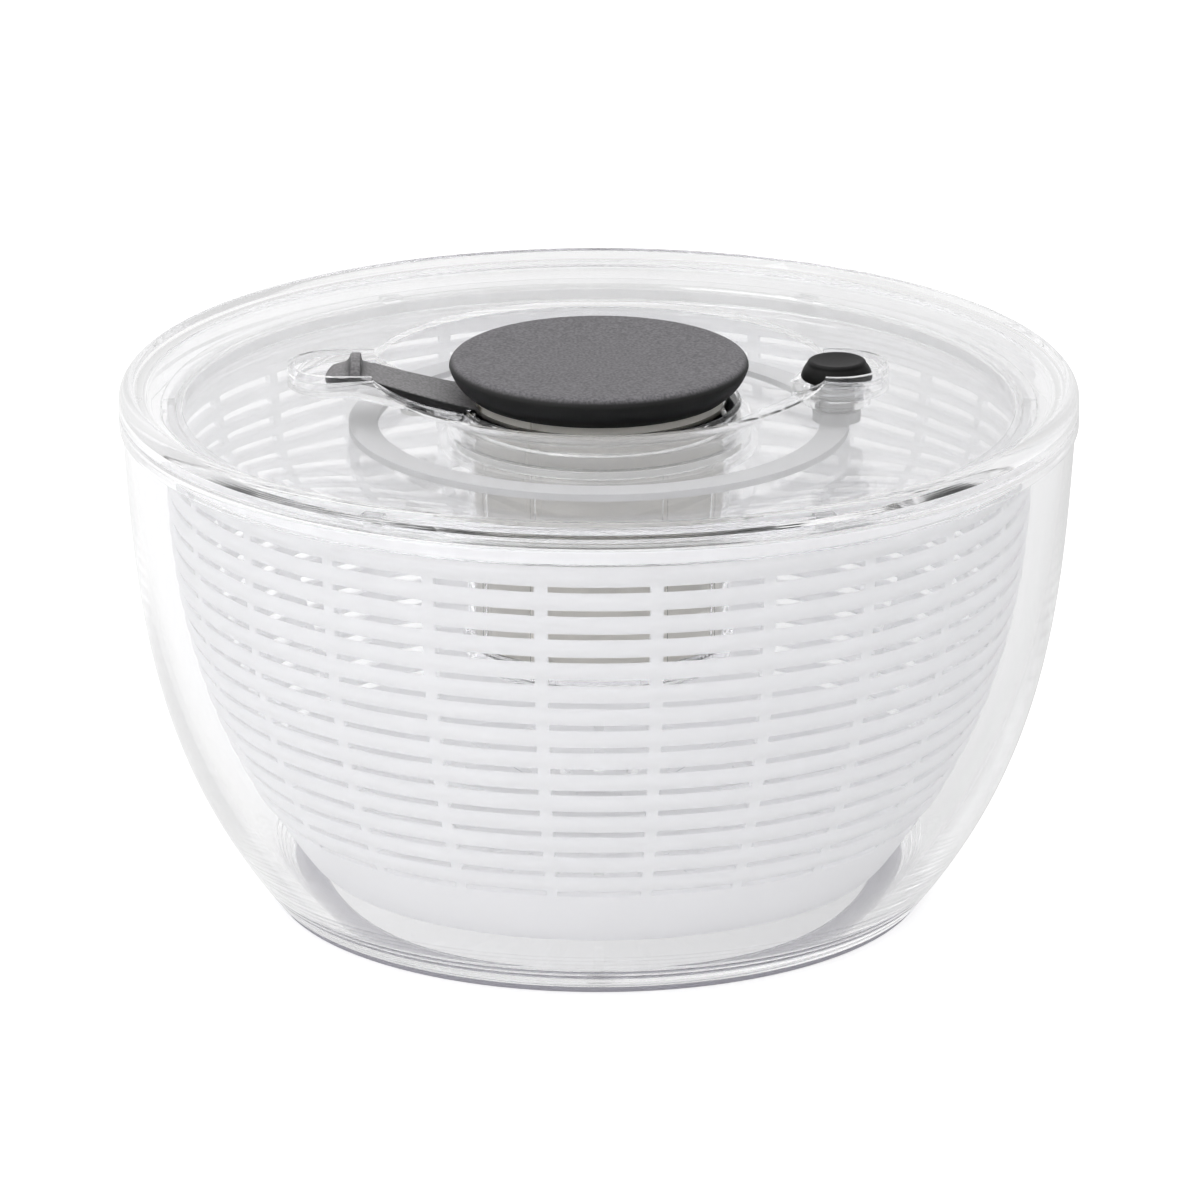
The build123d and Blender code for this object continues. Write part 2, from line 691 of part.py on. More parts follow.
with BuildPart() as housing_cap:
    with BuildSketch(Plane.XZ):
        with BuildLine():
            cap_outer = housing_outer + housing_rib_depth + cap_flare
            cap_top = housing_bottom + cap_height
            Polyline((0, housing_bottom), (cap_outer - cap_round, housing_bottom))
            ThreePointArc((cap_outer - cap_round, housing_bottom),
                          (cap_outer - 0.3 * cap_round, housing_bottom + 0.3 * cap_round),
                          (cap_outer, housing_bottom + cap_round))
            Polyline((cap_outer, housing_bottom + cap_round), (cap_outer, cap_top),
                     (housing_outer + housing_rib_depth + fit_gap, cap_top),
                     (housing_outer + housing_rib_depth + fit_gap, housing_foot),
                     (housing_radius, housing_foot),
                     (housing_radius, cap_floor_z), (0, cap_floor_z), (0, housing_bottom))
        make_face()
    revolve(axis=Axis.Z)
finish(housing_cap.part, "housing_cap")


def saw_teeth(base_z, rise):
    """A ring of saw teeth on the axis that climb by rise from base_z."""
    tooth_length = 2 * (ratchet_radius - tooth_width) * math.tan(math.pi / tooth_count) * 0.85
    with BuildPart() as teeth:
        for tooth in range(tooth_count):
            with BuildSketch(radial_plane(tooth * 360 / tooth_count, ratchet_radius - tooth_width, base_z)):
                with BuildLine():
                    Polyline((-tooth_length / 2, 0), (tooth_length / 2, 0), (tooth_length / 2, rise),
                             close=True)
                make_face()
            extrude(amount=tooth_width - 0.6)
    return teeth.part


journal_radius = fin_core_radius - 0.6
with BuildPart() as ratchet_ring:
    with BuildSketch(Plane.XY.offset(cap_floor_z)):
        Circle(ratchet_radius)
        Circle(journal_radius + running_gap, mode=Mode.SUBTRACT)
    extrude(amount=ratchet_base)
    add(saw_teeth(cap_floor_z + ratchet_base, tooth_height))
finish(ratchet_ring.part, "ratchet_ring")

with BuildPart() as thrust_washer:
    with BuildSketch(Plane.XY.offset(cap_floor_z)):
        Circle(spring_radius + 1.6 * spring_wire)
        Circle(spring_radius - 1.6 * spring_wire, mode=Mode.SUBTRACT)
    extrude(amount=washer_height)
finish(thrust_washer.part, "thrust_washer")

# ---------------------------------------------------------------- spindle and clutch
clutch_z = cap_floor_z + ratchet_base + 2 * tooth_height + face_gap
seat_radius = fin_core_radius + 0.9
spindle_foot = clutch_z + clutch_height
spindle_top = tube_foot + nut_rise + nut_hub_height - 2 + pump_travel + 0.6

with BuildPart() as clutch_plate:
    with BuildSketch(Plane.XY.offset(clutch_z)):
        Circle(ratchet_radius)
        Circle(seat_radius, mode=Mode.SUBTRACT)
    extrude(amount=clutch_height)
    add(saw_teeth(clutch_z, -tooth_height))
finish(clutch_plate.part, "clutch_plate")


def twisted(grow, low, high):
    """A length of the spindle's twisted cross, grown outwards on all sides."""
    with BuildSketch() as cross:
        Circle(fin_core_radius + grow)
        Rectangle(fin_length + 2 * grow, fin_width + 2 * grow)
        Rectangle(fin_width + 2 * grow, fin_length + 2 * grow)
    phase = 360 * (low - spindle_foot) / lead
    section = cross.sketch.face().rotate(Axis.Z, phase).moved(Location((0, 0, low)))
    turn = 360 * (high - low) / lead
    return Solid.extrude_linear_with_rotation(section, (0, 0, low), (0, 0, high - low), turn)


with BuildPart() as drive_spindle:
    with BuildSketch(Plane.XY.offset(cap_floor_z)):
        Circle(journal_radius)
    extrude(amount=clutch_z - cap_floor_z)
    with BuildSketch(Plane.XY.offset(clutch_z)):
        Circle(seat_radius)
    extrude(amount=clutch_height)
    add(twisted(0, spindle_foot, spindle_top))
finish(drive_spindle.part, "drive_spindle")

# ---------------------------------------------------------------- plunger and knob
plate_z = tube_foot + nut_rise
window_low = lever_end_z - lever_thickness - face_gap - 0.3
window_high = lever_end_z + face_gap + 0.4

with BuildPart() as plunger_tube:
    with BuildSketch(Plane.XY.offset(tube_foot)):
        Circle(plunger_radius)
        Circle(tube_inner, mode=Mode.SUBTRACT)
    extrude(amount=plunger_length)
    with BuildSketch(Plane.XY.offset(plate_z - 2)):
        Circle(tube_inner + 0.2)
        Circle(tube_inner - 1.5, mode=Mode.SUBTRACT)
    extrude(amount=2)
    with BuildSketch(Plane.XY.offset(tube_foot)):
        with PolarLocations(plunger_radius, key_count):
            Rectangle(2 * (key_depth + slide_gap - fit_gap), key_width + 2 * slide_gap)
    extrude(amount=plunger_length, mode=Mode.SUBTRACT)
    with BuildSketch(Plane.XY.offset(window_low)):
        with Locations((-plunger_radius, 0)):
            Rectangle(4 * plunger_wall, lever_width + 2 * slide_gap + 0.6)
    extrude(amount=window_high - window_low, mode=Mode.SUBTRACT)
finish(plunger_tube.part, "plunger_tube")

with BuildPart() as drive_nut:
    with BuildSketch(Plane.XY.offset(plate_z)):
        Circle(tube_inner - fit_gap)
        with PolarLocations(nut_hole_place, nut_hole_count):
            Circle(nut_hole_radius, mode=Mode.SUBTRACT)
    extrude(amount=nut_plate)
    with BuildSketch(Plane.XY.offset(plate_z - 2)):
        Circle(nut_hub_radius)
    extrude(amount=nut_hub_height)
    add(twisted(spindle_gap, plate_z - 2 - 0.5, plate_z - 2 + nut_hub_height + 0.5), mode=Mode.SUBTRACT)
finish(drive_nut.part, "drive_nut")

return_spring_part = coil(spring_radius, spring_wire, spring_turns, cap_floor_z + washer_height, plate_z)
finish(return_spring_part, "return_spring")

with BuildPart() as knob_core:
    with BuildSketch(Plane.XY.offset(knob_foot)):
        Circle(core_radius)
    extrude(amount=core_height)
    with BuildSketch(Plane.XY.offset(knob_foot - 1)):
        Circle(tube_inner - fit_gap)
        Circle(tube_inner - fit_gap - 2, mode=Mode.SUBTRACT)
    extrude(amount=1)
finish(knob_core.part, "knob_core")

with BuildPart() as knob_grip:
    with BuildSketch(Plane.XZ):
        with BuildLine():
            shoulder = (knob_radius, knob_top - knob_round)
            Polyline((0, knob_foot + core_height), (core_radius, knob_foot + core_height),
                     (core_radius, knob_foot), (knob_foot_radius, knob_foot))
            ThreePointArc((knob_foot_radius, knob_foot),
                          ((knob_foot_radius + knob_radius) / 2 + 0.7, knob_foot + 0.5 * knob_height),
                          shoulder)
            ThreePointArc(shoulder, (knob_radius - 0.3 * knob_round, knob_top - 0.3 * knob_round),
                          (knob_radius - knob_round, knob_top))
            dished(knob_radius - knob_round, knob_top, knob_dish)
            Line((0, knob_top - knob_dish), (0, knob_foot + core_height))
        make_face()
    revolve(axis=Axis.Z)
finish(knob_grip.part, "knob_grip")
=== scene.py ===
"""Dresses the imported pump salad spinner: clear bowl and lid, milky basket, dark knob, lever and button.

Sizes are in millimetres and are turned into metres where a mesh is made. The frame's boxes give
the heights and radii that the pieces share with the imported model.
"""

from __future__ import annotations

import logging
import math
from dataclasses import dataclass
from enum import Enum
from typing import Callable, Mapping, Sequence, Union

import bmesh
import bpy
import numpy as np
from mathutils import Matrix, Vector

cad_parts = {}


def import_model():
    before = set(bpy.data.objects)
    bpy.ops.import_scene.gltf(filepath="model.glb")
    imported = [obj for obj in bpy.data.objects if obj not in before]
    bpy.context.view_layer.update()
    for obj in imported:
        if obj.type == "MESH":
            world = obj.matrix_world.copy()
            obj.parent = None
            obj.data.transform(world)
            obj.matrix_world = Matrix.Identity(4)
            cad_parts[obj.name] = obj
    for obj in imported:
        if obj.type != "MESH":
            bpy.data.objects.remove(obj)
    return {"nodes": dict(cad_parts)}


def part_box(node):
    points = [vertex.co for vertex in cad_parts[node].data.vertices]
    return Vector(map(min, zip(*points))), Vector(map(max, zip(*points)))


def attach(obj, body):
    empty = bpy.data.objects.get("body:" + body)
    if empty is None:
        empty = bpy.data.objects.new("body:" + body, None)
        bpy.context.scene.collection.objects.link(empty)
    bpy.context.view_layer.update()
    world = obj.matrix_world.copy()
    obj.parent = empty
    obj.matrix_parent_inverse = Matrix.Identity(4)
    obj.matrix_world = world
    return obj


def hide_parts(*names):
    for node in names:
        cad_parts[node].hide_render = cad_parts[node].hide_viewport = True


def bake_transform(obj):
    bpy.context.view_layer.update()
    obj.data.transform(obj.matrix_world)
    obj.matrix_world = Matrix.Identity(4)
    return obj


LOG = logging.getLogger("spinner")
MM = 0.001
AIR = 0.06  # gap in millimetres where a clear piece rests on another, so that their faces don't coincide

Point = tuple[float, float]
Spot = tuple[float, float, float]
Outline = list[Point]
Colour = tuple[float, float, float]
Settings = Mapping[str, object]
Inputs = Mapping[Union[str, int], object]


# ------------------------------------------------------------------ node graphs


class Socket:
    """An output socket whose values can be used in Python expressions."""

    def __init__(self, graph: "Graph", output: bpy.types.NodeSocket) -> None:
        """Keep the graph and the output.

        Args:
            graph: the graph that new Math nodes go into.
            output: the socket that gives the value.
        """
        self.graph = graph
        self.output = output

    def math(self, operation: str, *others: "Term") -> "Socket":
        """Return a Math node of this value and others."""
        return self.graph.socket("ShaderNodeMath", {"operation": operation}, dict(enumerate((self, *others))))

    def __add__(self, other: "Term") -> "Socket":
        """Return self + other."""
        return self.math("ADD", other)

    __radd__ = __add__

    def __sub__(self, other: "Term") -> "Socket":
        """Return self - other."""
        return self.math("SUBTRACT", other)

    def __rsub__(self, other: float) -> "Socket":
        """Return other - self."""
        return self.math("MULTIPLY", -1.0).math("ADD", other)

    def __mul__(self, other: "Term") -> "Socket":
        """Return self * other."""
        return self.math("MULTIPLY", other)

    __rmul__ = __mul__

    def __truediv__(self, other: "Term") -> "Socket":
        """Return self / other."""
        return self.math("DIVIDE", other)

    def __pow__(self, power: float) -> "Socket":
        """Return self raised to a power."""
        return self.math("POWER", power)

    def __mod__(self, step: float) -> "Socket":
        """Return the remainder of self over a step."""
        return self.math("MODULO", step)

    def ramp(self, low: float, high: float) -> "Socket":
        """Return 0 below low and 1 above high, smooth between them."""
        return self.graph.socket("ShaderNodeMapRange", {"interpolation_type": "SMOOTHSTEP"},
                                 {"Value": self, "From Min": low, "From Max": high})

    def greater(self, limit: float) -> "Socket":
        """Return 1 above a limit and 0 below it."""
        return self.math("GREATER_THAN", limit)

    def less(self, limit: float) -> "Socket":
        """Return 1 below a limit and 0 above it."""
        return self.math("LESS_THAN", limit)

    def at_least(self, other: "Term") -> "Socket":
        """Return the larger of two values."""
        return self.math("MAXIMUM", other)

    def at_most(self, other: "Term") -> "Socket":
        """Return the smaller of two values."""
        return self.math("MINIMUM", other)


Term = Union[Socket, float]


class Graph:
    """A node tree with one method that makes any node."""

    def __init__(self, tree: bpy.types.NodeTree) -> None:
        """Keep the tree and empty it.

        Args:
            tree: a material's, the world's or a modifier's node tree.
        """
        self.tree = tree
        tree.nodes.clear()

    def node(self, kind: str, settings: Settings | None = None, inputs: Inputs | None = None) -> bpy.types.Node:
        """Make a node, set it, then fill its sockets.

        Args:
            kind: the node's type.
            settings: attributes such as an operation, set first.
            inputs: values, or Sockets to link, by socket name or number.

        Returns:
            The new node.
        """
        node = self.tree.nodes.new(kind)
        for name, value in (settings or {}).items():
            setattr(node, name, value)
        for name, value in (inputs or {}).items():
            socket = node.inputs[name]
            if isinstance(value, Socket):
                self.tree.links.new(value.output, socket)
            elif isinstance(value, tuple) and len(value) == 3 and socket.type == "RGBA":
                socket.default_value = (*value, 1.0)
            else:
                socket.default_value = value
        return node

    def socket(self, kind: str, settings: Settings | None = None, inputs: Inputs | None = None,
               output: str | int = 0) -> Socket:
        """Make a node and return one of its outputs."""
        return Socket(self, self.node(kind, settings, inputs).outputs[output])

    def parts(self, vector: Socket) -> list[Socket]:
        """Return the X, Y and Z of a vector."""
        node = self.node("ShaderNodeSeparateXYZ", inputs={0: vector})
        return [Socket(self, output) for output in node.outputs]

    def principled(self, **values: object) -> Socket:
        """Return a Principled shader. A name's underscores stand for spaces."""
        return self.socket("ShaderNodeBsdfPrincipled", inputs={
            name.replace("_", " "): value for name, value in values.items()})

    def noise(self, scale: float, detail: float = 2.0, stretch: Colour = (1.0, 1.0, 1.0)) -> Socket:
        """Return noise on object coordinates.

        Args:
            scale: cells to a metre.
            detail: how many finer octaves are added.
            stretch: a factor on each axis.

        Returns:
            The noise value, about 0 to 1.
        """
        place = self.socket("ShaderNodeTexCoord", output="Object")
        mapped = self.socket("ShaderNodeMapping", inputs={"Vector": place, "Scale": stretch})
        return self.socket("ShaderNodeTexNoise", inputs={"Vector": mapped, "Scale": scale, "Detail": detail})

    def bump(self, height: Socket, strength: float, distance: float) -> Socket:
        """Return a normal that a height disturbs."""
        return self.socket("ShaderNodeBump", output="Normal", inputs={
            "Height": height, "Strength": strength, "Distance": distance})

    def mix_colour(self, share: Socket, low: Colour | Socket, high: Colour | Socket) -> Socket:
        """Return a colour between low and high."""
        return self.socket("ShaderNodeMix", {"data_type": "RGBA"}, {0: share, 6: low, 7: high}, 2)


# ------------------------------------------------------------------ finishes

PLASTIC_IOR = 1.5


def material_of(name: str, surface: Callable[[Graph], Socket]) -> bpy.types.Material:
    """Make a material from a function that adds its shader to a graph."""
    material = bpy.data.materials.new(name)
    material.use_nodes = True
    graph = Graph(material.node_tree)
    graph.node("ShaderNodeOutputMaterial", inputs={"Surface": surface(graph)})
    return material


class Finish:
    """A procedural material that is made once and shared by the pieces that have it."""

    made: dict[str, bpy.types.Material] = {}
    name: str

    def material(self) -> bpy.types.Material:
        """Return the material, made on first use."""
        if self.name not in Finish.made:
            Finish.made[self.name] = material_of(self.name, self.surface)
        return Finish.made[self.name]

    def surface(self, graph: Graph) -> Socket:
        """Return the surface's shader."""
        raise NotImplementedError

    def dress(self, piece: bpy.types.Object) -> None:
        """Give a piece this finish alone."""
        piece.data.materials.clear()
        piece.data.materials.append(self.material())


def grey(level: float) -> Colour:
    """Return a colour without a hue."""
    return (level, level, level)


def dimmed(colour: Colour, share: float) -> Colour:
    """Return a colour times a share."""
    return tuple(share * part for part in colour)


@dataclass(frozen=True)
class ClearPlastic(Finish):
    """Moulded clear plastic: refracting, glossy, with faint flow waves."""

    name: str
    tint: Colour = (0.98, 0.98, 0.985)
    haze: float = 0.02
    wave: float = 0.003

    def surface(self, graph: Graph) -> Socket:
        """Return a refracting shader with a little haze and waviness."""
        smear = graph.noise(60.0, 3.0)
        wave = graph.noise(22.0, 1.0)
        return graph.principled(
            Base_Color=graph.mix_colour(smear, self.tint, dimmed(self.tint, 0.99)),
            Roughness=smear.ramp(0.35, 0.8) * self.haze + 0.005,
            IOR=PLASTIC_IOR, Transmission_Weight=1.0, Normal=graph.bump(wave, self.wave, 0.0004))


@dataclass(frozen=True)
class MilkyPlastic(Finish):
    """Translucent white plastic that glows where light is behind it."""

    name: str
    colour: Colour = (0.90, 0.90, 0.91)
    gloss: float = 0.3
    glow: float = 0.5

    def surface(self, graph: Graph) -> Socket:
        """Return a mix of a satin shell and light from behind."""
        flow = graph.noise(35.0, 3.0, (1.0, 1.0, 0.3))
        colour = graph.mix_colour(flow, self.colour, dimmed(self.colour, 0.97))
        normal = graph.bump(graph.noise(900.0, 2.0), 0.05, 0.0002)
        shell = graph.principled(Base_Color=colour, Roughness=flow * 0.15 + self.gloss, IOR=PLASTIC_IOR,
                                 Normal=normal)
        through = graph.socket("ShaderNodeBsdfTranslucent", inputs={"Color": self.colour, "Normal": normal})
        return graph.socket("ShaderNodeMixShader", inputs={0: self.glow, 1: shell, 2: through})


@dataclass(frozen=True)
class DarkSkin(Finish):
    """Dark plastic or rubber with painted top light: its upward faces are painted greyer than its sides, as if lit
    from above.
    """

    name: str
    # painted top light: the colour of upward faces, greyer as if lit from above
    top: Colour = (0.122, 0.118, 0.126)
    # painted shade: the colour of the sides, darker as if turned away from the light
    side: Colour = (0.009, 0.009, 0.009)
    rough: float = 0.62
    sheen: float = 0.4
    grain: float = 0.25
    grain_scale: float = 1300.0

    def surface(self, graph: Graph) -> Socket:
        """Return a matte shader with a fine grain and painted top light on its upward faces."""
        facing = graph.socket("ShaderNodeTexCoord", output="Normal")
        # painted top light: faces turned up get the greyer top colour, as if lit from above
        painted_top_light = graph.parts(facing)[2].ramp(0.35, 0.95)
        speckle = graph.noise(self.grain_scale, 2.0)
        cloud = graph.noise(45.0, 3.0)
        top = graph.mix_colour(speckle.ramp(0.3, 0.7), dimmed(self.top, 0.68), dimmed(self.top, 1.32))
        return graph.principled(
            Base_Color=graph.mix_colour(painted_top_light, self.side, top), Roughness=cloud * 0.08 + self.rough - 0.04,
            Specular_IOR_Level=self.sheen, Normal=graph.bump(speckle, self.grain, 0.0002))


@dataclass(frozen=True)
class SteelWire(Finish):
    """Drawn spring wire."""

    name: str
    colour: Colour = (0.62, 0.63, 0.65)

    def surface(self, graph: Graph) -> Socket:
        """Return a metal with fine drawing lines."""
        lines = graph.noise(700.0, 2.0, (1.0, 1.0, 4.0))
        return graph.principled(Base_Color=self.colour, Metallic=1.0, Roughness=lines * 0.2 + 0.2,
                                Normal=graph.bump(lines, 0.05, 0.0001))


CLEAR_SHELL = ClearPlastic("clear_shell")
CLEAR_LID = ClearPlastic("clear_lid", tint=(0.99, 0.99, 0.993))
CLEAR_DISC = ClearPlastic("clear_disc", tint=(0.99, 0.99, 0.993), haze=0.04)
CLEAR_HOUSING = ClearPlastic("clear_housing", tint=(0.992, 0.992, 0.995), haze=0.03)
MILKY_BASKET = MilkyPlastic("milky_basket", colour=(0.96, 0.96, 0.967), glow=0.5)
MILKY_TUBE = MilkyPlastic("milky_tube", colour=(0.95, 0.93, 0.88), glow=0.55)
MILKY_SHOE = MilkyPlastic("milky_shoe", colour=(0.76, 0.76, 0.77), glow=0.5)
ACETAL = MilkyPlastic("acetal", colour=(0.86, 0.86, 0.84), gloss=0.4, glow=0.15)
GRIP_RUBBER = MilkyPlastic("grip_rubber", colour=(0.63, 0.62, 0.67), gloss=0.5, glow=0.3)
# The dark finishes carry painted top light: their top colours are greyer than their side colours, as if lit from
# above.
SOFT_TOUCH = DarkSkin("soft_touch")
LEVER_PLASTIC = DarkSkin("lever_plastic", top=(0.165, 0.16, 0.165), side=(0.01, 0.01, 0.011), rough=0.45,
                         grain=0.05)
BUTTON_RUBBER = DarkSkin("button_rubber", top=(0.012, 0.0115, 0.012), side=(0.004, 0.004, 0.004), rough=0.5,
                         sheen=0.15, grain=0.06)
HARD_CORE = DarkSkin("hard_core", rough=0.5, grain=0.03)
STEEL = SteelWire("spring_steel")


# ------------------------------------------------------------------ mesh helpers


def arc(start: Point, middle: Point, end: Point, steps: int = 8) -> Outline:
    """Points along the circle through three points.

    Args:
        start: first point, which is in the result.
        middle: a point that the arc passes.
        end: last point, which is in the result.
        steps: how many stretches the arc is cut into.

    Returns:
        The points from start to end.
    """
    (ax, ay), (bx, by), (cx, cy) = start, middle, end
    d = 2 * (ax * (by - cy) + bx * (cy - ay) + cx * (ay - by))
    a2, b2, c2 = ax * ax + ay * ay, bx * bx + by * by, cx * cx + cy * cy
    ux = (a2 * (by - cy) + b2 * (cy - ay) + c2 * (ay - by)) / d
    uy = (a2 * (cx - bx) + b2 * (ax - cx) + c2 * (bx - ax)) / d
    radius = math.hypot(ax - ux, ay - uy)
    first, mid, last = (math.atan2(y - uy, x - ux) for x, y in (start, middle, end))
    turn = (last - first) % math.tau
    if (mid - first) % math.tau > turn:
        turn -= math.tau
    angles = (first + turn * step / steps for step in range(steps + 1))
    return [(ux + radius * math.cos(t), uy + radius * math.sin(t)) for t in angles]


def sagged(start: Point, end: Point, sag: float, steps: int = 16) -> Outline:
    """Points of an arc whose middle is moved up by sag."""
    return arc(start, ((start[0] + end[0]) / 2, (start[1] + end[1]) / 2 + sag), end, steps)


def bend(corner: Point, *offsets: Point, steps: int) -> Outline:
    """Points along the circle through three points that are given from a corner."""
    x, z = corner
    return arc(*((x + dx, z + dz) for dx, dz in offsets), steps)


def dished(reach: float, top: float, dish: float, steps: int) -> Outline:
    """Points from a round top's edge in to its hollow middle."""
    ball = (reach**2 + dish**2) / (2 * dish)
    radii = (reach * (1 - k / steps) for k in range(1, steps + 1))
    return [(r, top - dish + ball - math.sqrt(ball**2 - r**2)) for r in radii]


def settle(mesh: bpy.types.Mesh, sharp: float = 35.0) -> None:
    """Weld a mesh, turn its faces outwards and shade it smooth up to an angle.

    Args:
        mesh: the mesh to finish, in place.
        sharp: edges that turn more than this many degrees stay sharp.
    """
    bm = bmesh.new()
    bm.from_mesh(mesh)
    bmesh.ops.remove_doubles(bm, verts=bm.verts, dist=2e-6)
    bmesh.ops.dissolve_degenerate(bm, edges=bm.edges, dist=1e-6)
    bmesh.ops.recalc_face_normals(bm, faces=bm.faces)
    bm.to_mesh(mesh)
    bm.free()
    mesh.shade_smooth()
    mesh.set_sharp_from_angle(angle=math.radians(sharp))


def placed(name: str, data: bpy.types.ID) -> bpy.types.Object:
    """Put data into the scene as an object at the origin."""
    item = bpy.data.objects.new(name, data)
    bpy.context.scene.collection.objects.link(item)
    return item


def new_piece(name: str, points: Sequence[Spot], faces: Sequence[Sequence[int]], sharp: float = 35.0
              ) -> bpy.types.Object:
    """Make an object at the origin from points in millimetres."""
    mesh = bpy.data.meshes.new(name)
    mesh.from_pydata((np.asarray(points) * MM).tolist(), [], faces)
    settle(mesh, sharp)
    return placed(name, mesh)


def lathe(name: str, outline: Outline, segments: int = 256, centre: Point = (0.0, 0.0)) -> bpy.types.Object:
    """Turn a closed outline round a vertical axis.

    Args:
        name: the piece's name.
        outline: radius and height points, in millimetres, of the closed section.
        segments: how many steps make the full turn.
        centre: where the axis stands.

    Returns:
        The closed piece.
    """
    turns = np.linspace(0, math.tau, segments, endpoint=False)
    points: list[Spot] = []
    rings: list[list[int]] = []
    for radius, height in outline:
        if radius < 1e-6:
            rings.append([len(points)] * segments)
            points.append((centre[0], centre[1], height))
            continue
        rings.append(list(range(len(points), len(points) + segments)))
        points.extend((centre[0] + radius * math.cos(t), centre[1] + radius * math.sin(t), height) for t in turns)
    faces = []
    for near, far in zip(rings, rings[1:] + rings[:1]):
        for i in range(segments):
            j = (i + 1) % segments
            corners = list(dict.fromkeys((near[i], near[j], far[j], far[i])))
            if len(corners) > 2:
                faces.append(corners)
    return new_piece(name, points, faces)


def prism(name: str, near: Sequence[Spot], far: Sequence[Spot]) -> bpy.types.Object:
    """Make a closed block between two equal rings of points."""
    count = len(near)
    sides = [(i, (i + 1) % count, count + (i + 1) % count, count + i) for i in range(count)]
    return new_piece(name, [*near, *far], [*sides, tuple(reversed(range(count))), tuple(range(count, 2 * count))])


def extruded(name: str, outline: Outline, low: float, high: float) -> bpy.types.Object:
    """Raise a closed plan outline from one height to another."""
    return prism(name, *([(x, y, z) for x, y in outline] for z in (low, high)))


def slid(name: str, outline: Outline, half_width: float) -> bpy.types.Object:
    """Stretch a closed side outline, in X and Z, to both sides along Y."""
    return prism(name, *([(x, y, z) for x, z in outline] for y in (-half_width, half_width)))


class Cut(Enum):
    """How one mesh changes another."""

    JOIN = "UNION"
    REMOVE = "DIFFERENCE"
    KEEP_COMMON = "INTERSECT"


def carve(piece: bpy.types.Object, tool: bpy.types.Object, how: Cut) -> bpy.types.Object:
    """Join, cut or intersect a piece with a tool, and delete the tool.

    Args:
        piece: the mesh that is changed.
        tool: the other mesh.
        how: what to do with it.

    Returns:
        The piece.
    """
    modifier = piece.modifiers.new("carve", "BOOLEAN")
    modifier.operation = how.value
    modifier.solver = "EXACT"
    modifier.object = tool
    bake(piece)
    bpy.data.objects.remove(tool)
    return piece


def bake(piece: bpy.types.Object, sharp: float = 35.0) -> bpy.types.Object:
    """Turn a piece's modifiers into plain mesh."""
    graph = bpy.context.evaluated_depsgraph_get()
    mesh = bpy.data.meshes.new_from_object(piece.evaluated_get(graph))
    piece.modifiers.clear()
    old = piece.data
    piece.data = mesh
    mesh.name = piece.name
    bpy.data.meshes.remove(old)
    settle(mesh, sharp)
    return piece


def shape_inputs(name: str, wanted: Mapping[str, object], finish: Finish) -> tuple[Graph, dict[str, Socket]]:
    """Start a node tree that makes a mesh.

    Args:
        name: the tree's name.
        wanted: each named input with its value.
        finish: the value of the last input, the finish.

    Returns:
        The tree's graph, and each input's socket by its name.
    """
    tree = bpy.data.node_groups.new(name, "GeometryNodeTree")
    graph = Graph(tree)
    tree.interface.new_socket("Geometry", in_out="OUTPUT", socket_type="NodeSocketGeometry")
    kinds = {int: "NodeSocketInt", float: "NodeSocketFloat", tuple: "NodeSocketVector"}
    values = {**wanted, "Finish": finish.material()}
    for label, value in values.items():
        kind = kinds.get(type(value), "NodeSocketMaterial")
        tree.interface.new_socket(label, in_out="INPUT", socket_type=kind).default_value = value
    given = graph.node("NodeGroupInput")
    return graph, {label: Socket(graph, given.outputs[label]) for label in values}


def grown(name: str, graph: Graph, shape: Socket, finish: Socket) -> bpy.types.Object:
    """Close a node tree with its shape and finish, and turn it into a piece of plain mesh."""
    real = graph.socket("GeometryNodeRealizeInstances", inputs={"Geometry": shape})
    dressed = graph.socket("GeometryNodeSetMaterial", inputs={"Geometry": real, "Material": finish})
    graph.node("NodeGroupOutput", inputs={0: dressed})
    piece = placed(name, bpy.data.meshes.new(name))
    piece.modifiers.new("shape", "NODES").node_group = graph.tree
    return bake(piece)


def welded(node: str, name: str, sharp: float = 30.0) -> bpy.types.Object:
    """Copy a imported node's mesh, merged and smooth, as a new piece."""
    piece = placed(name, FRAME["nodes"][node].data.copy())
    settle(piece.data, sharp)
    return piece


def top_of(node: str) -> float:
    """Height of a node's top, in millimetres."""
    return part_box(node)[1].z / MM


def foot_of(node: str) -> float:
    """Height of a node's foot, in millimetres."""
    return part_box(node)[0].z / MM


def radius_of(node: str) -> float:
    """Largest reach of a node along +Y, in millimetres."""
    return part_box(node)[1].y / MM


def hand_over(piece: bpy.types.Object, body: str, node: str, finish: Finish, slot: str = "") -> None:
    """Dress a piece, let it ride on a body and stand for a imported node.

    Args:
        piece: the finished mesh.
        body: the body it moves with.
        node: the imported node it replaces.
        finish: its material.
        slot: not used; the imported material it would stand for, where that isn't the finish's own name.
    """
    finish.dress(piece)
    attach(piece, body)
    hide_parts(node)
    slot or finish.name
    LOG.info("%s rides on %s", piece.name, body)


# ------------------------------------------------------------------ sub-assemblies


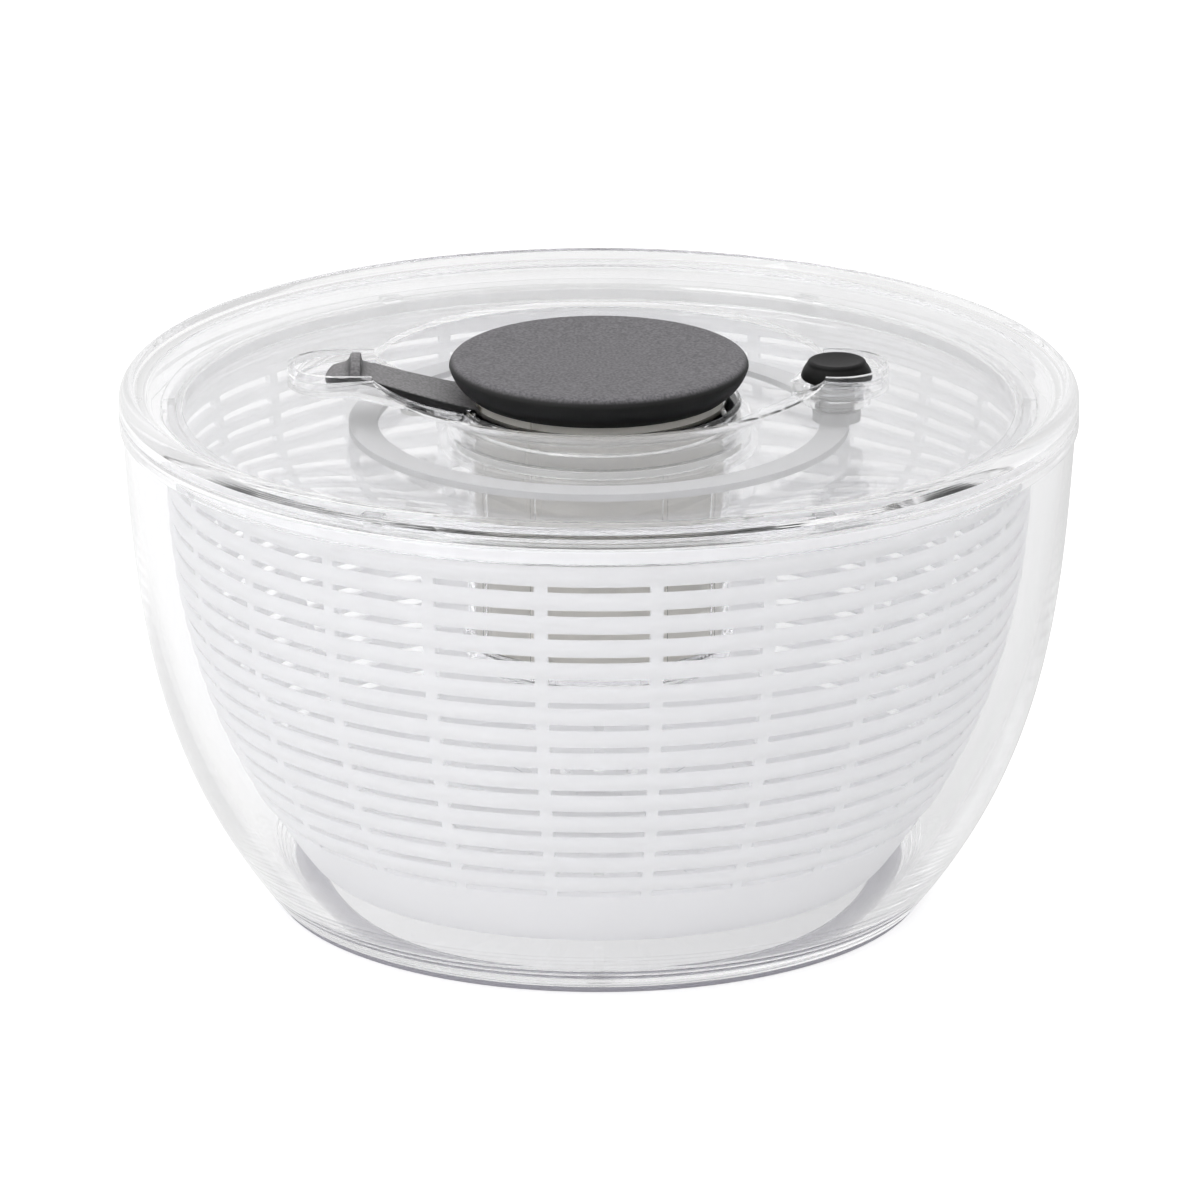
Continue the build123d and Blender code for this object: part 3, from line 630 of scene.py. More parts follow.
@dataclass
class Bowl:
    """The clear outer bowl and the non-slip ring under it."""

    base_radius: float = 90.8
    floor: float = 3.0
    bead_height: float = 4.8
    bead_width: float = 2.9
    foot_inset: float = 3.0
    grip_width: float = 11.0
    boss_radius: float = 8.0
    boss_height: float = 3.6
    pin_radius: float = 3.0
    curve_steps: int = 56
    roundness: float = 0.78
    swell_power: float = 3.2
    neck_inset: float = 0.9
    grooves: int = 4
    groove_pitch: float = 1.5
    groove_width: float = 0.7
    groove_depth: float = 0.2

    def swell(self, share: float) -> float:
        """How far out the wall is, from 0 at its foot to 1 at its neck, at a share of its height."""
        return self.roundness * (1 - (1 - share) ** self.swell_power) + (1 - self.roundness) * share

    def side(self, low: Point, high: Point) -> Outline:
        """Points up the bowl's swelling curve, from its foot to its neck."""
        shares = [step / self.curve_steps for step in range(self.curve_steps + 1)]
        return [(low[0] + (high[0] - low[0]) * self.swell(s), low[1] + (high[1] - low[1]) * s) for s in shares]

    def grooved(self, curve: Outline) -> Outline:
        """Cut fine grooves round the foot of a climbing curve."""
        radii, heights = zip(*curve)
        result = [curve[0]]
        for line in range(1, self.grooves + 1):
            middle = heights[0] + line * self.groove_pitch
            half = self.groove_width / 2
            for height, dip in ((middle - half, 0.0), (middle, self.groove_depth), (middle + half, 0.0)):
                result.append((float(np.interp(height, heights, radii)) - dip, height))
        return result + [point for point in curve if point[1] > result[-1][1] + 0.2]

    def build(self) -> None:
        """Make the bowl and its grip ring."""
        rim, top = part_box("bowl")[1].x / MM, top_of("bowl")
        grip_top = top_of("base_grip_ring")
        neck = rim - self.neck_inset
        foot = self.base_radius + (neck - self.base_radius) * self.swell(grip_top / top)
        mouth = rim - self.bead_width
        floor_z = grip_top + self.floor
        inner_foot = self.base_radius - self.foot_inset
        recess = self.base_radius - self.grip_width
        outline: Outline = [(0, grip_top + 1), (recess, grip_top + 1), (recess, grip_top)]
        outline += self.grooved(self.side((foot, grip_top), (neck, top - self.bead_height)))
        outline += [(rim, top - self.bead_height + 0.9), (rim, top - 1.8)]
        outline += bend((rim, top), (0, -1.4), (-0.41, -0.41), (-1.4, 0), steps=6)
        outline += bend((mouth, top), (0.6, 0), (0.18, -0.18), (0, -0.6), steps=4)
        outline += list(reversed(self.side((inner_foot, floor_z), (mouth, top - 0.6))))[1:-1]
        outline += bend((inner_foot, floor_z), (1.2, 0.8), (-0.2, 0.12), (-2, 0), steps=4)
        boss_top = floor_z + self.boss_height
        outline += [(self.boss_radius, floor_z), (self.boss_radius - 0.4, boss_top), (self.pin_radius, boss_top),
                    (self.pin_radius, floor_z), (0, floor_z)]
        hand_over(lathe("bowl_shell", outline, 320), "base", "bowl", CLEAR_SHELL)
        ring = lathe("base_grip", self.grip_outline(recess, foot, grip_top - AIR), 256)
        hand_over(ring, "base", "base_grip_ring", GRIP_RUBBER)

    def grip_outline(self, inner: float, outer: float, top: float) -> Outline:
        """Section of the grip ring, with two fine grooves round its outer face."""
        base = self.base_radius
        dips = ((0.08, 0.0), (0.3, 0.0), (0.36, 0.25), (0.42, 0.0), (0.66, 0.0), (0.72, 0.25), (0.78, 0.0))
        side = [(base + (outer - base) * s - dip, top * s) for s, dip in dips]
        return [(inner + 0.4, 0), (base - 0.4, 0), *side, (outer, top), (inner, top), (inner, 0.4)]


@dataclass
class Basket:
    """The milky basket: a slotted, scalloped wall, a floor with a cone, and side feet."""

    foot_radius: float = 87.0
    wall: float = 2.0
    floor: float = 2.0
    rows: int = 15
    slot: float = 1.5
    pitch: float = 6.7
    rise: float = 16.7
    ribs: int = 24
    rib_share: float = 0.115
    bulge: float = 1.0
    foot_drop: float = 9.0
    hub_radius: float = 7.6
    cone_radius: float = 16.0
    band_rows: int = 5
    open_columns: int = 6
    rib_columns: int = 2
    low_rows: int = 4
    high_rows: int = 6
    swell_power: float = 2.6
    bore: float = 5.36
    slot_rings: tuple[Point, ...] = ((36.0, 56.0), (60.0, 78.0))
    slot_half: float = 1.5
    foot_half: float = 6.0
    foot_depth: float = 5.5

    def slotted_wall(self, bottom: float) -> bpy.types.Object:
        """Shape the slotted wall from its underside up to the rim, as one thin sheet."""
        graph, size = shape_inputs("slotted_wall", {
            "Bottom": bottom, "Height": top_of("basket") - bottom, "Foot Radius": self.foot_radius,
            "Top Radius": radius_of("basket"), "Bulge": self.bulge, "Slot Height": self.slot,
            "Pitch": self.pitch, "Rise": self.rise}, MILKY_BASKET)
        step_columns = self.open_columns + self.rib_columns
        step_rows = self.band_rows + 1
        columns = self.ribs * step_columns
        slotted_rows = self.rows * step_rows
        rows = self.low_rows + slotted_rows + self.high_rows
        grid = graph.socket("GeometryNodeMeshGrid", inputs={
            "Size X": float(columns), "Size Y": float(rows), "Vertices X": columns + 1, "Vertices Y": rows + 1})
        across, along, _ = graph.parts(graph.socket("GeometryNodeInputPosition"))
        column = across + columns / 2
        row = along + rows / 2 - self.low_rows
        in_step, in_band = column % step_columns, row % step_rows
        inside = row.greater(0.0) * row.less(float(slotted_rows))
        hole = in_band.less(1.0) * inside * in_step.greater(float(self.rib_columns))
        sheet = graph.socket("GeometryNodeDeleteGeometry", {"domain": "FACE"},
                             {"Geometry": grid, "Selection": hole})
        first = size["Rise"] - size["Slot Height"] * 0.5
        last = first + size["Pitch"] * float(self.rows)
        turn_in_band = (in_band - 1.0).at_least(0.0) / self.band_rows
        in_row = in_band.at_most(1.0) * size["Slot Height"] + turn_in_band * (size["Pitch"] - size["Slot Height"])
        slotted = first + (row / step_rows).math("FLOOR") * size["Pitch"] + in_row
        below = (row / self.low_rows + 1.0) * first
        above = last + (row - slotted_rows) / self.high_rows * (size["Height"] - last)
        is_below, is_above = row.less(0.0), row.greater(slotted_rows - 0.5)
        among = (1 - is_below) * (1 - is_above)
        rise = below * is_below + above * is_above + slotted * among
        swell = 1 - (1 - (rise / size["Height"]).at_most(1.0)).at_least(0.0) ** self.swell_power
        scallop = (turn_in_band * math.pi).math("SINE") * size["Bulge"] * among
        radius = size["Foot Radius"] + (size["Top Radius"] - size["Foot Radius"]) * swell + scallop
        rib_turn = in_step.at_most(float(self.rib_columns)) * (self.rib_share / self.rib_columns)
        open_turn = (in_step - self.rib_columns).at_least(0.0) * ((1 - self.rib_share) / self.open_columns)
        turn = (column / step_columns).math("FLOOR") + rib_turn + open_turn - self.rib_share / 2
        angle = turn * (math.tau / self.ribs) + math.pi / self.ribs
        place = graph.socket("ShaderNodeCombineXYZ", inputs={
            0: angle.math("COSINE") * radius * MM, 1: angle.math("SINE") * radius * MM,
            2: (rise + size["Bottom"]) * MM})
        shaped = graph.socket("GeometryNodeSetPosition", inputs={"Geometry": sheet, "Position": place})
        closed = graph.socket("GeometryNodeMergeByDistance", inputs={"Geometry": shaped, "Distance": 1e-5})
        return grown("basket_body", graph, closed, size["Finish"])

    def build(self) -> None:
        """Make the wall, the floor with its hub, and the feet, and join them."""
        bottom = foot_of("basket") + self.foot_drop
        wall = self.slotted_wall(bottom)
        shell = wall.modifiers.new("shell", "SOLIDIFY")
        shell.thickness = self.wall * MM
        shell.offset = -1.0
        shell.use_even_offset = True
        edge = wall.modifiers.new("edge", "BEVEL")
        edge.width = 0.2 * MM
        edge.segments = 2
        edge.limit_method = "ANGLE"
        edge.angle_limit = math.radians(50)
        bake(wall, 40)
        hub_top = top_of("pivot_cup") + 2.3
        reach = self.foot_radius - 0.4
        hub, cone, floor_top = self.hub_radius, self.cone_radius, bottom + self.floor
        floor = lathe("basket_floor", [
            (self.bore, bottom - 1), (hub, bottom - 1), (hub, bottom), (cone, bottom), (reach, bottom),
            (reach, floor_top), (cone, floor_top), (hub, hub_top - 2.5), (hub - 1.5, hub_top), (0, hub_top),
            (0, hub_top - 2), (self.bore, hub_top - 2)], 192)
        for index, (near, far) in enumerate(self.slot_rings):
            carve(floor, self.floor_slots(f"floor_slots_{index}", near, far, bottom), Cut.REMOVE)
        join([wall, floor, *(self.foot(side, bottom) for side in (-1, 1))])
        hand_over(wall, "basket", "basket", MILKY_BASKET)

    def floor_slots(self, name: str, near: float, far: float, bottom: float) -> bpy.types.Object:
        """Make one ring of slot cutters for the floor."""
        points, faces = [], []
        for index in range(self.ribs):
            turn, half = math.tau * index / self.ribs, self.slot_half
            out, across = Vector((math.cos(turn), math.sin(turn))), Vector((-math.sin(turn), math.cos(turn)))
            first = len(points)
            for z in (bottom - 1, bottom + self.floor + 1):
                for r, s in ((near, -half), (far, -half), (far, half), (near, half)):
                    points.append((*(out * r + across * s), z))
            faces += [[first + k for k in face] for face in
                      ((0, 1, 5, 4), (1, 2, 6, 5), (2, 3, 7, 6), (3, 0, 4, 7), (3, 2, 1, 0), (4, 5, 6, 7))]
        return new_piece(name, points, faces)

    def foot(self, side: int, bottom: float) -> bpy.types.Object:
        """Make one rounded foot at the basket's side."""
        half, depth = self.foot_half, self.foot_depth
        turns = [math.pi * step / 16 for step in range(17)]
        outline = [(half * math.cos(t), bottom - self.foot_drop + depth - depth * math.sin(t)) for t in turns]
        outline += [(-half, bottom + 1.5), (half, bottom + 1.5)]
        foot = prism(f"basket_foot_{side}", *([(side * r, y, z) for y, z in outline]
                                              for r in (self.foot_radius - 5, self.foot_radius - 1.4)))
        soft = foot.modifiers.new("soft", "BEVEL")
        soft.width = 0.8 * MM
        soft.segments = 3
        return bake(foot)


def join(pieces: Sequence[bpy.types.Object]) -> bpy.types.Object:
    """Join meshes into the first of them."""
    bm = bmesh.new()
    for piece in pieces:
        bm.from_mesh(piece.data)
    target = pieces[0]
    bm.to_mesh(target.data)
    bm.free()
    for piece in pieces[1:]:
        bpy.data.objects.remove(piece)
    target.data.shade_smooth()
    target.data.set_sharp_from_angle(angle=math.radians(40))
    return target


@dataclass
class Lid:
    """The clear lid: rim, crowned deck, hollow round the knob, and the two wells."""

    wall: float = 2.1
    edge_radius: float = 126.5
    edge_rise: float = 4.5
    skirt_wall: float = 2.0
    skirt_step: float = 1.0
    skirt_depth: float = 6.2
    bead_width: float = 3.95
    foot_width: float = 3.1
    rim_rise: float = 7.0
    crater_radius: float = 64.0
    crater_rise: float = 10.7
    crater_sag: float = 1.9
    crown: float = 0.7
    collar_radius: float = 38.9
    collar_rise: float = 1.8
    throat_radius: float = 35.05
    throat_wall: float = 3.2 - AIR
    lip_rise: float = 11.6
    well_radius: float = 12.1
    well_end: float = 84.9
    well_depth: float = 5.9
    well_wall: float = 1.5
    slope_start: float = 33.05
    slope_end: float = 67.6
    cut_past: float = 10.0
    block_half: float = 20.0
    slope_floor: float = 138.2
    button_place: float = 66.0
    button_well: float = 12.9
    button_depth: float = 6.8
    pocket_depth: float = 4.2
    pocket_radius: float = 7.9
    post_radius: float = 5.06
    stem_place: float = 51.4
    stem_slot: Point = (11.9, 5.7)

    def __post_init__(self) -> None:
        """Take the shared heights from the frame."""
        self.seat = top_of("bowl")
        self.throat_foot = foot_of("lid_cover")
        self.lip = self.seat + self.lip_rise
        self.dish_foot = (self.collar_radius + 0.7, self.seat + self.collar_rise - 1.0)
        self.crater_edge = (self.crater_radius, self.seat + self.crater_rise)
        self.deck_edge = (self.edge_radius, self.seat + self.edge_rise)

    def cover_outline(self) -> Outline:
        """Section of the lid without its wells."""
        seat, wall = self.seat, self.wall
        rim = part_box("lid_cover")[1].x / MM
        rim_top, rim_inner = seat + self.rim_rise, rim - self.bead_width
        outer_throat = self.throat_radius + self.throat_wall
        skirt_outer = self.edge_radius + self.skirt_step
        skirt_inner = skirt_outer - self.skirt_wall
        under_edge = seat + self.edge_rise - wall
        outline: Outline = [(self.throat_radius, self.throat_foot)]
        collar = seat + self.collar_rise
        outline += bend((self.throat_radius, collar), (0, -0.6), (0.18, -0.18), (0.6, 0), steps=4)
        outline += bend((self.collar_radius, collar), (-0.5, 0), (-0.12, -0.14), (0.05, -0.5), steps=4)
        outline += sagged(self.dish_foot, self.crater_edge, -self.crater_sag, 24)
        outline += sagged(self.crater_edge, self.deck_edge, self.crown, 28)[1:-1]
        outline += bend(self.deck_edge, (-0.6, 0.02), (-0.1, 0.15), (0.4, 0.5), steps=3)
        outline += [(rim_inner - 0.4, rim_top - 0.3)]
        outline += arc((rim_inner, rim_top), (rim - 1.1, rim_top - 1.25), (rim, seat + 2.9), 14)
        outline += bend((rim, seat), (0, 1.3), (-0.32, 0.42), (-1.2, AIR), steps=6)
        mouth = rim - self.foot_width
        outline += [(mouth, seat + AIR), (mouth, under_edge), (skirt_outer, under_edge)]
        skirt_foot, under_crater = seat - self.skirt_depth, (self.crater_radius, self.crater_edge[1] - wall)
        outline += [(skirt_outer, skirt_foot + 0.4), (skirt_outer - 0.4, skirt_foot),
                    (skirt_inner + 0.3, skirt_foot), (skirt_inner, skirt_foot + 0.3)]
        outline += sagged((skirt_inner, under_edge), under_crater, self.crown, 28)
        outline += sagged(under_crater, (outer_throat, collar - wall - 1.0), -self.crater_sag, 24)[1:]
        outline += [(outer_throat, self.throat_foot)]
        return outline

    def slot_plan(self, grow: float, inner: float) -> Outline:
        """Plan of the lever's well, grown on all sides, that ends at a place near the throat."""
        half = self.well_radius + grow
        middle = -self.well_end + self.well_radius
        bend = arc((middle, half), (-self.well_end - grow, 0), (middle, -half), 32)
        return [(-inner, half), *bend, (-inner, -half)]

    def slot_side(self, drop: float, inner: float, top: float) -> Outline:
        """Side section of the lever's well, deepened by drop, from past its end to a place near the throat."""
        flat = self.lip - self.well_depth - drop
        slope = (flat + drop - self.slope_floor) / (self.slope_end - self.slope_start)
        foot = self.slope_floor + slope * (inner - self.slope_start) - drop
        past = -self.well_end - 2 * self.well_radius
        return [(past, flat), (-self.slope_end, flat), (-inner, foot), (-inner, top), (past, top)]

    def drum(self, name: str, radius: float, low: float, high: float, steps: int = 64) -> bpy.types.Object:
        """Make a plain round block where the button is, for a cut or a wall."""
        return lathe(name, [(0, low), (radius, low), (radius, high), (0, high)], steps, (self.button_place, 0))

    def build(self) -> None:
        """Make the lid cover with its wells."""
        cover = lathe("lid_shell", self.cover_outline(), 320)
        outer_throat = self.throat_radius + self.throat_wall
        button_floor = self.lip - self.button_depth
        above = self.lip + self.cut_past
        plan = self.slot_plan(self.well_wall, outer_throat - 0.7)
        walls = extruded("lever_walls", plan, self.throat_foot, above)
        side = self.slot_side(self.well_wall, self.slope_start, above + 1)
        carve(walls, slid("lever_side", side, self.block_half), Cut.KEEP_COMMON)
        pocket_floor = button_floor - self.pocket_depth
        cup = self.drum("button_cup", self.button_well + self.well_wall, button_floor - self.well_wall, above, 96)
        carve(cup, self.drum("button_pocket", self.pocket_radius + self.well_wall, pocket_floor - self.well_wall,
                             button_floor), Cut.JOIN)
        sunk = self.wall / 2
        low_foot, low_edge = ((r, z - sunk) for r, z in (self.dish_foot, self.crater_edge))
        envelope = [low_edge, (self.crater_radius, self.lip), (self.well_end + 3, self.lip),
                    (self.well_end + 3, self.throat_foot + 1), (outer_throat - 1.2, self.throat_foot + 1),
                    (outer_throat - 1.2, low_foot[1])]
        envelope += sagged(low_foot, low_edge, -self.crater_sag, 24)[:-1]
        for part in (walls, cup):
            carve(part, lathe("envelope", list(envelope), 320), Cut.KEEP_COMMON)
            carve(cover, part, Cut.JOIN)
        space = extruded("lever_space", self.slot_plan(0, self.slope_start), self.throat_foot, above)
        side = self.slot_side(0, self.slope_start - 1, above + 1)
        carve(space, slid("space_side", side, self.block_half), Cut.KEEP_COMMON)
        carve(cover, space, Cut.REMOVE)
        for hole in (self.drum("button_space", self.button_well, button_floor, above, 96),
                     self.drum("pocket_space", self.pocket_radius, pocket_floor, button_floor + 1),
                     self.drum("post_hole", self.post_radius, pocket_floor - 3, button_floor)):
            carve(cover, hole, Cut.REMOVE)
        half, wide = self.stem_slot[0] / 2, self.stem_slot[1] / 2
        middle = -self.stem_place
        plan = arc((middle + half - wide, wide), (middle + half, 0), (middle + half - wide, -wide), 12)
        plan += arc((middle - half + wide, -wide), (middle - half, 0), (middle - half + wide, wide), 12)
        carve(cover, extruded("stem_slot", plan, self.throat_foot + 0.5, self.seat + 2), Cut.REMOVE)
        hand_over(cover, "lid", "lid_cover", CLEAR_LID)


@dataclass
class Lever:
    """The dark lock lever: a leaf, a cross fin for the finger, and an arm down to the plunger."""

    tail_end: float = 76.0
    tail_width: float = 17.0
    end_width: float = 22.6
    fin_place: float = 66.0
    fin_thickness: float = 3.0
    thickness: float = 2.6
    end_rise: float = 1.7
    foot_rise: float = 9.3
    fin_rise: float = 14.2
    inner_radius: float = 34.95
    arm_start: float = 34.6
    leaf_rise: float = 0.3
    arch: float = 0.85
    arch_power: float = 2.4
    stem_place: float = 50.0
    stem_radius: float = 2.5
    edge_radius: float = 0.55
    across: int = 24
    corner_points: int = 4

    def profile(self, seat: float) -> list[tuple[float, float, float]]:
        """Stations along the lever: place, top and underside heights."""
        foot, end, fin = seat + self.foot_rise, seat + self.end_rise, seat + self.fin_rise
        fin_out = self.fin_place + self.fin_thickness
        tops: Outline = sagged((self.tail_end, foot - 1.4), (fin_out + 3.4, foot + 0.9), 0.5, 12)
        tops += arc((fin_out + 3.0, foot + 1.05), (fin_out + 1.2, foot + 2.1), (fin_out + 0.1, fin - 0.9), 10)
        tops += bend((fin_out, fin), (-0.05, -0.6), (-0.3, -0.12), (-0.7, 0), steps=4)
        tops += bend((self.fin_place, fin), (0.6, 0), (0.2, -0.15), (0.05, -0.6), steps=4)
        tops += bend((self.fin_place, foot), (-0.1, 3.0), (-0.9, 0.9), (-3.4, -0.1), steps=10)
        tops += sagged((self.fin_place - 4.0, foot - 0.25), (self.inner_radius - 2, end), -0.4, 18)
        return [(x, z, min(foot, end + self.slope() * (x - self.arm_start)) - self.thickness) for x, z in tops]

    def slope(self) -> float:
        """How steeply the arm climbs towards the fin."""
        return (self.foot_rise - self.end_rise) / (self.fin_place - self.arm_start)

    def section(self, half: float, top: float, under: float) -> Outline:
        """Section across the lever: soft top corners, and many points along its top and its underside."""
        edge = min(self.edge_radius, 0.45 * (top - under))
        row = [(half - edge) * (2 * k / self.across - 1) for k in range(self.across + 1)]
        corner = [(half, under + edge), (half, top - edge), (half - 0.16 * edge, top - 0.45 * edge),
                  (half - 0.45 * edge, top - 0.16 * edge)]
        return [*((-y, z) for y, z in corner), *((y, top) for y in row), *reversed(corner),
                *((y, under) for y in reversed(row))]

    def cap(self, ring: list[int]) -> list[tuple[int, ...]]:
        """Close an end with upright strips, so that a hollow end stays hollow."""
        first, last = self.corner_points, len(ring) - 1
        right = first + self.across
        strips = [(ring[first + k], ring[first + k + 1], ring[last - k - 1], ring[last - k])
                  for k in range(self.across)]
        return strips + [(*ring[:first + 1], ring[last]), tuple(ring[right:right + first + 2])]

    def half_width(self, x: float) -> float:
        """Half of the lever's width at a place along it."""
        tail_half, end_half = self.tail_width / 2, self.end_width / 2
        round_start = self.tail_end - tail_half
        if x > round_start:
            return max(math.sqrt(max(tail_half**2 - (x - round_start) ** 2, 0)), 0.25)
        return tail_half + (end_half - tail_half) * (round_start - x) / (round_start - self.inner_radius)

    def build(self) -> None:
        """Loft the lever through its stations."""
        seat = top_of("bowl")
        leaf = seat + self.foot_rise + self.leaf_rise
        points, rings = [], []
        for x, top, under in self.profile(seat):
            half = self.half_width(x)
            section = self.section(half, top, under)
            rings.append(list(range(len(points), len(points) + len(section))))
            nearness = max(0.0, min(1.0, (self.stem_place - x) / (self.stem_place - self.inner_radius + 2)))
            for y, z in section:
                z -= max(z - leaf, 0) * self.arch * min(abs(y) / half, 1) ** self.arch_power
                shift = (math.sqrt(self.inner_radius**2 - y**2) - self.inner_radius + 2) * nearness
                lowness = (top - z) / (top - under)
                points.append((-(x + shift), y, z + self.slope() * shift * lowness))
        faces = []
        count = len(rings[0])
        for near, far in zip(rings, rings[1:]):
            faces += [(near[i], near[(i + 1) % count], far[(i + 1) % count], far[i]) for i in range(count)]
        faces += self.cap(rings[0]) + [face[::-1] for face in self.cap(rings[-1])]
        lever = new_piece("lever_body", points, faces, 50)
        low, high = foot_of("lever_clip"), seat + 1.5
        stem = [(0, low), (self.stem_radius, low), (self.stem_radius, high), (0, high)]
        join([lever, lathe("lever_stem", stem, 32, (-self.stem_place, 0))])
        hand_over(lever, "lock", "lock_lever", LEVER_PLASTIC)


@dataclass
class Knob:
    """The pump knob's soft cover and the milky tube under it."""

    radius: float = 41.6
    foot_radius: float = 36.6
    core_radius: float = 35.0
    core_height: float = 5.2
    round_top: float = 2.4
    flank_swell: float = 1.5
    dish: float = 0.5

    def build(self) -> None:
        """Make the soft cover and smooth the tube."""
        top, foot = top_of("knob_grip"), foot_of("knob_grip")
        shoulder = (self.radius, top - self.round_top)
        outline: Outline = [(0, foot + self.core_height), (self.core_radius, foot + self.core_height),
                            (self.core_radius, foot), (self.foot_radius - 0.4, foot)]
        outline += arc((self.foot_radius, foot + 0.4),
                       ((self.foot_radius + self.radius) / 2 + self.flank_swell, (foot + top) / 2), shoulder, 20)
        reach = self.radius - self.round_top
        outline += arc(shoulder, (self.radius - 0.3 * self.round_top, top - 0.3 * self.round_top), (reach, top), 8)[1:]
        outline += dished(reach, top, self.dish, 16)
        hand_over(lathe("knob_cover", outline, 192), "plunger", "knob_grip", SOFT_TOUCH)
        hand_over(welded("plunger_tube", "plunger_sleeve"), "plunger", "plunger_tube", MILKY_TUBE)


@dataclass
class Brake:
    """The rubber brake button, its post and the ring that presses on the disc."""

    place: float = 66.0
    radius: float = 9.95
    top_radius: float = 8.0
    sink: float = 0.6
    dish: float = 0.6
    head_radius: float = 8.2
    head_height: float = 1.9

    def build(self) -> None:
        """Make the button; the post and the ring are smoothed copies."""
        top, foot = top_of("brake_button") - self.sink, foot_of("brake_button")
        head = foot + self.head_height
        outline: Outline = [(0, head), (self.head_radius, head), (self.head_radius, foot),
                            (self.radius - 0.3, foot)]
        outline += arc((self.radius, foot + 0.5), (self.radius - 0.65, (foot + top) / 2),
                       (self.top_radius + 0.35, top - 1.2), 10)
        outline += bend((self.top_radius, top), (0.2, -0.9), (-0.15, -0.25), (-0.9, 0), steps=6)
        outline += dished(self.top_radius - 0.9, top, self.dish, 8)
        hand_over(lathe("button_cap", outline, 96, (self.place, 0)), "brake", "brake_button", BUTTON_RUBBER)
        for node, name in (("brake_post", "button_post"), ("brake_ring", "brake_shoe")):
            hand_over(welded(node, name), "brake", node, MILKY_SHOE, MILKY_TUBE.name)


@dataclass
class Drive:
    """The clear drive disc and the ribbed cup that hangs from it, with the cup's cap."""

    rim_height: float = 1.6
    spigot_depth: float = 4.0
    spigot_wall: float = 2.0
    mouth_radius: float = 117.45
    web: float = 1.6
    flat_radius: float = 74.0
    hub_inner: float = 38.31
    counterbore: float = 40.1
    hub_outer: float = 42.3
    throat_gap: float = 0.3
    lugs: int = 6
    lug_width: float = 6.0
    lug_height: float = 2.4
    ribs: int = 12
    rib_depth: float = 0.6
    rib_width: float = 1.4
    housing_radius: float = 35.05
    housing_wall: float = 1.2

    def build(self) -> None:
        """Make the disc, the cup and its cap."""
        disc_radius, rim_top = radius_of("drive_disc"), top_of("drive_disc")
        web_z = foot_of("drive_disc")
        flange = rim_top - self.rim_height + AIR
        throat = foot_of("lid_cover") + self.throat_gap
        spigot_foot = top_of("basket") - self.spigot_depth
        inner = self.mouth_radius - self.spigot_wall
        hub_top = top_of("bowl") - 4.0
        mouth, web_top = self.mouth_radius, web_z + self.web
        disc = lathe("disc_body", [
            (self.counterbore, web_z), (self.flat_radius, web_z), (inner, spigot_foot), (mouth - 0.4, spigot_foot),
            (mouth, spigot_foot + 0.4), (mouth, flange), (disc_radius - 0.4, flange), (disc_radius, flange + 0.4),
            (disc_radius, rim_top - 0.4), (disc_radius - 0.4, rim_top), (inner + 0.4, rim_top),
            (inner, rim_top - 0.4), (inner, spigot_foot + self.web), (self.flat_radius, web_top),
            (self.hub_outer, web_top), (self.hub_outer, hub_top), (self.hub_inner, hub_top),
            (self.hub_inner, throat), (self.counterbore, throat)], 256)
        lugs = ring_of_blocks("disc_lugs", self.lugs, (mouth + disc_radius) / 2, disc_radius - mouth - 1,
                              self.lug_width, flange - self.lug_height, flange + 0.2, CLEAR_DISC)
        carve(disc, lugs, Cut.JOIN)
        hand_over(disc, "drive", "drive_disc", CLEAR_DISC)
        self.build_housing(web_z)

    def build_housing(self, web_z: float) -> None:
        """Make the hanging cup with its upright ribs, and its cap."""
        foot, outer = foot_of("pump_housing") + AIR, self.housing_radius + self.housing_wall
        flange, top = self.hub_outer + 2, web_z - AIR
        cup = lathe("housing_body", [(self.housing_radius, foot), (outer, foot), (outer, web_z - 2.4),
                                     (outer + 0.8, web_z - 1.6), (flange, web_z - 1.6), (flange, top),
                                     (self.housing_radius, top)], 192)
        ribs = ring_of_blocks("housing_ribs", self.ribs, outer, 2 * self.rib_depth, self.rib_width,
                              foot + 0.01, web_z - 1.0, CLEAR_HOUSING)
        carve(cup, ribs, Cut.JOIN)
        hand_over(cup, "drive", "pump_housing", CLEAR_HOUSING)
        hand_over(welded("housing_cap", "housing_end"), "drive", "housing_cap", CLEAR_HOUSING)


def ring_of_blocks(
    name: str, count: int, radius: float, depth: float, width: float, low: float, high: float, finish: Finish
) -> bpy.types.Object:
    """Make equal blocks round the axis with Geometry Nodes.

    Args:
        name: the piece's name.
        count: how many blocks.
        radius: where the blocks' middles stand.
        depth: their size outwards.
        width: their size round the axis.
        low: height of their feet.
        high: height of their tops.
        finish: the material.

    Returns:
        One mesh with all the blocks.
    """
    graph, size = shape_inputs(name, {
        "Count": count, "Radius": radius * MM, "Size": (depth * MM, width * MM, (high - low) * MM),
        "Height": (low + high) / 2 * MM}, finish)
    circle = graph.socket("GeometryNodeMeshCircle", inputs={"Vertices": size["Count"], "Radius": size["Radius"]})
    block = graph.socket("GeometryNodeMeshCube", inputs={"Size": size["Size"]})
    outward = graph.socket("FunctionNodeAlignEulerToVector", {"axis": "X"},
                           {"Vector": graph.socket("GeometryNodeInputPosition")})
    blocks = graph.socket("GeometryNodeInstanceOnPoints",
                          inputs={"Points": circle, "Instance": block, "Rotation": outward})
    lift = graph.socket("ShaderNodeCombineXYZ", inputs={2: size["Height"]})
    raised = graph.socket("GeometryNodeTransform", inputs={"Geometry": blocks, "Translation": lift})
    return grown(name, graph, raised, size["Finish"])


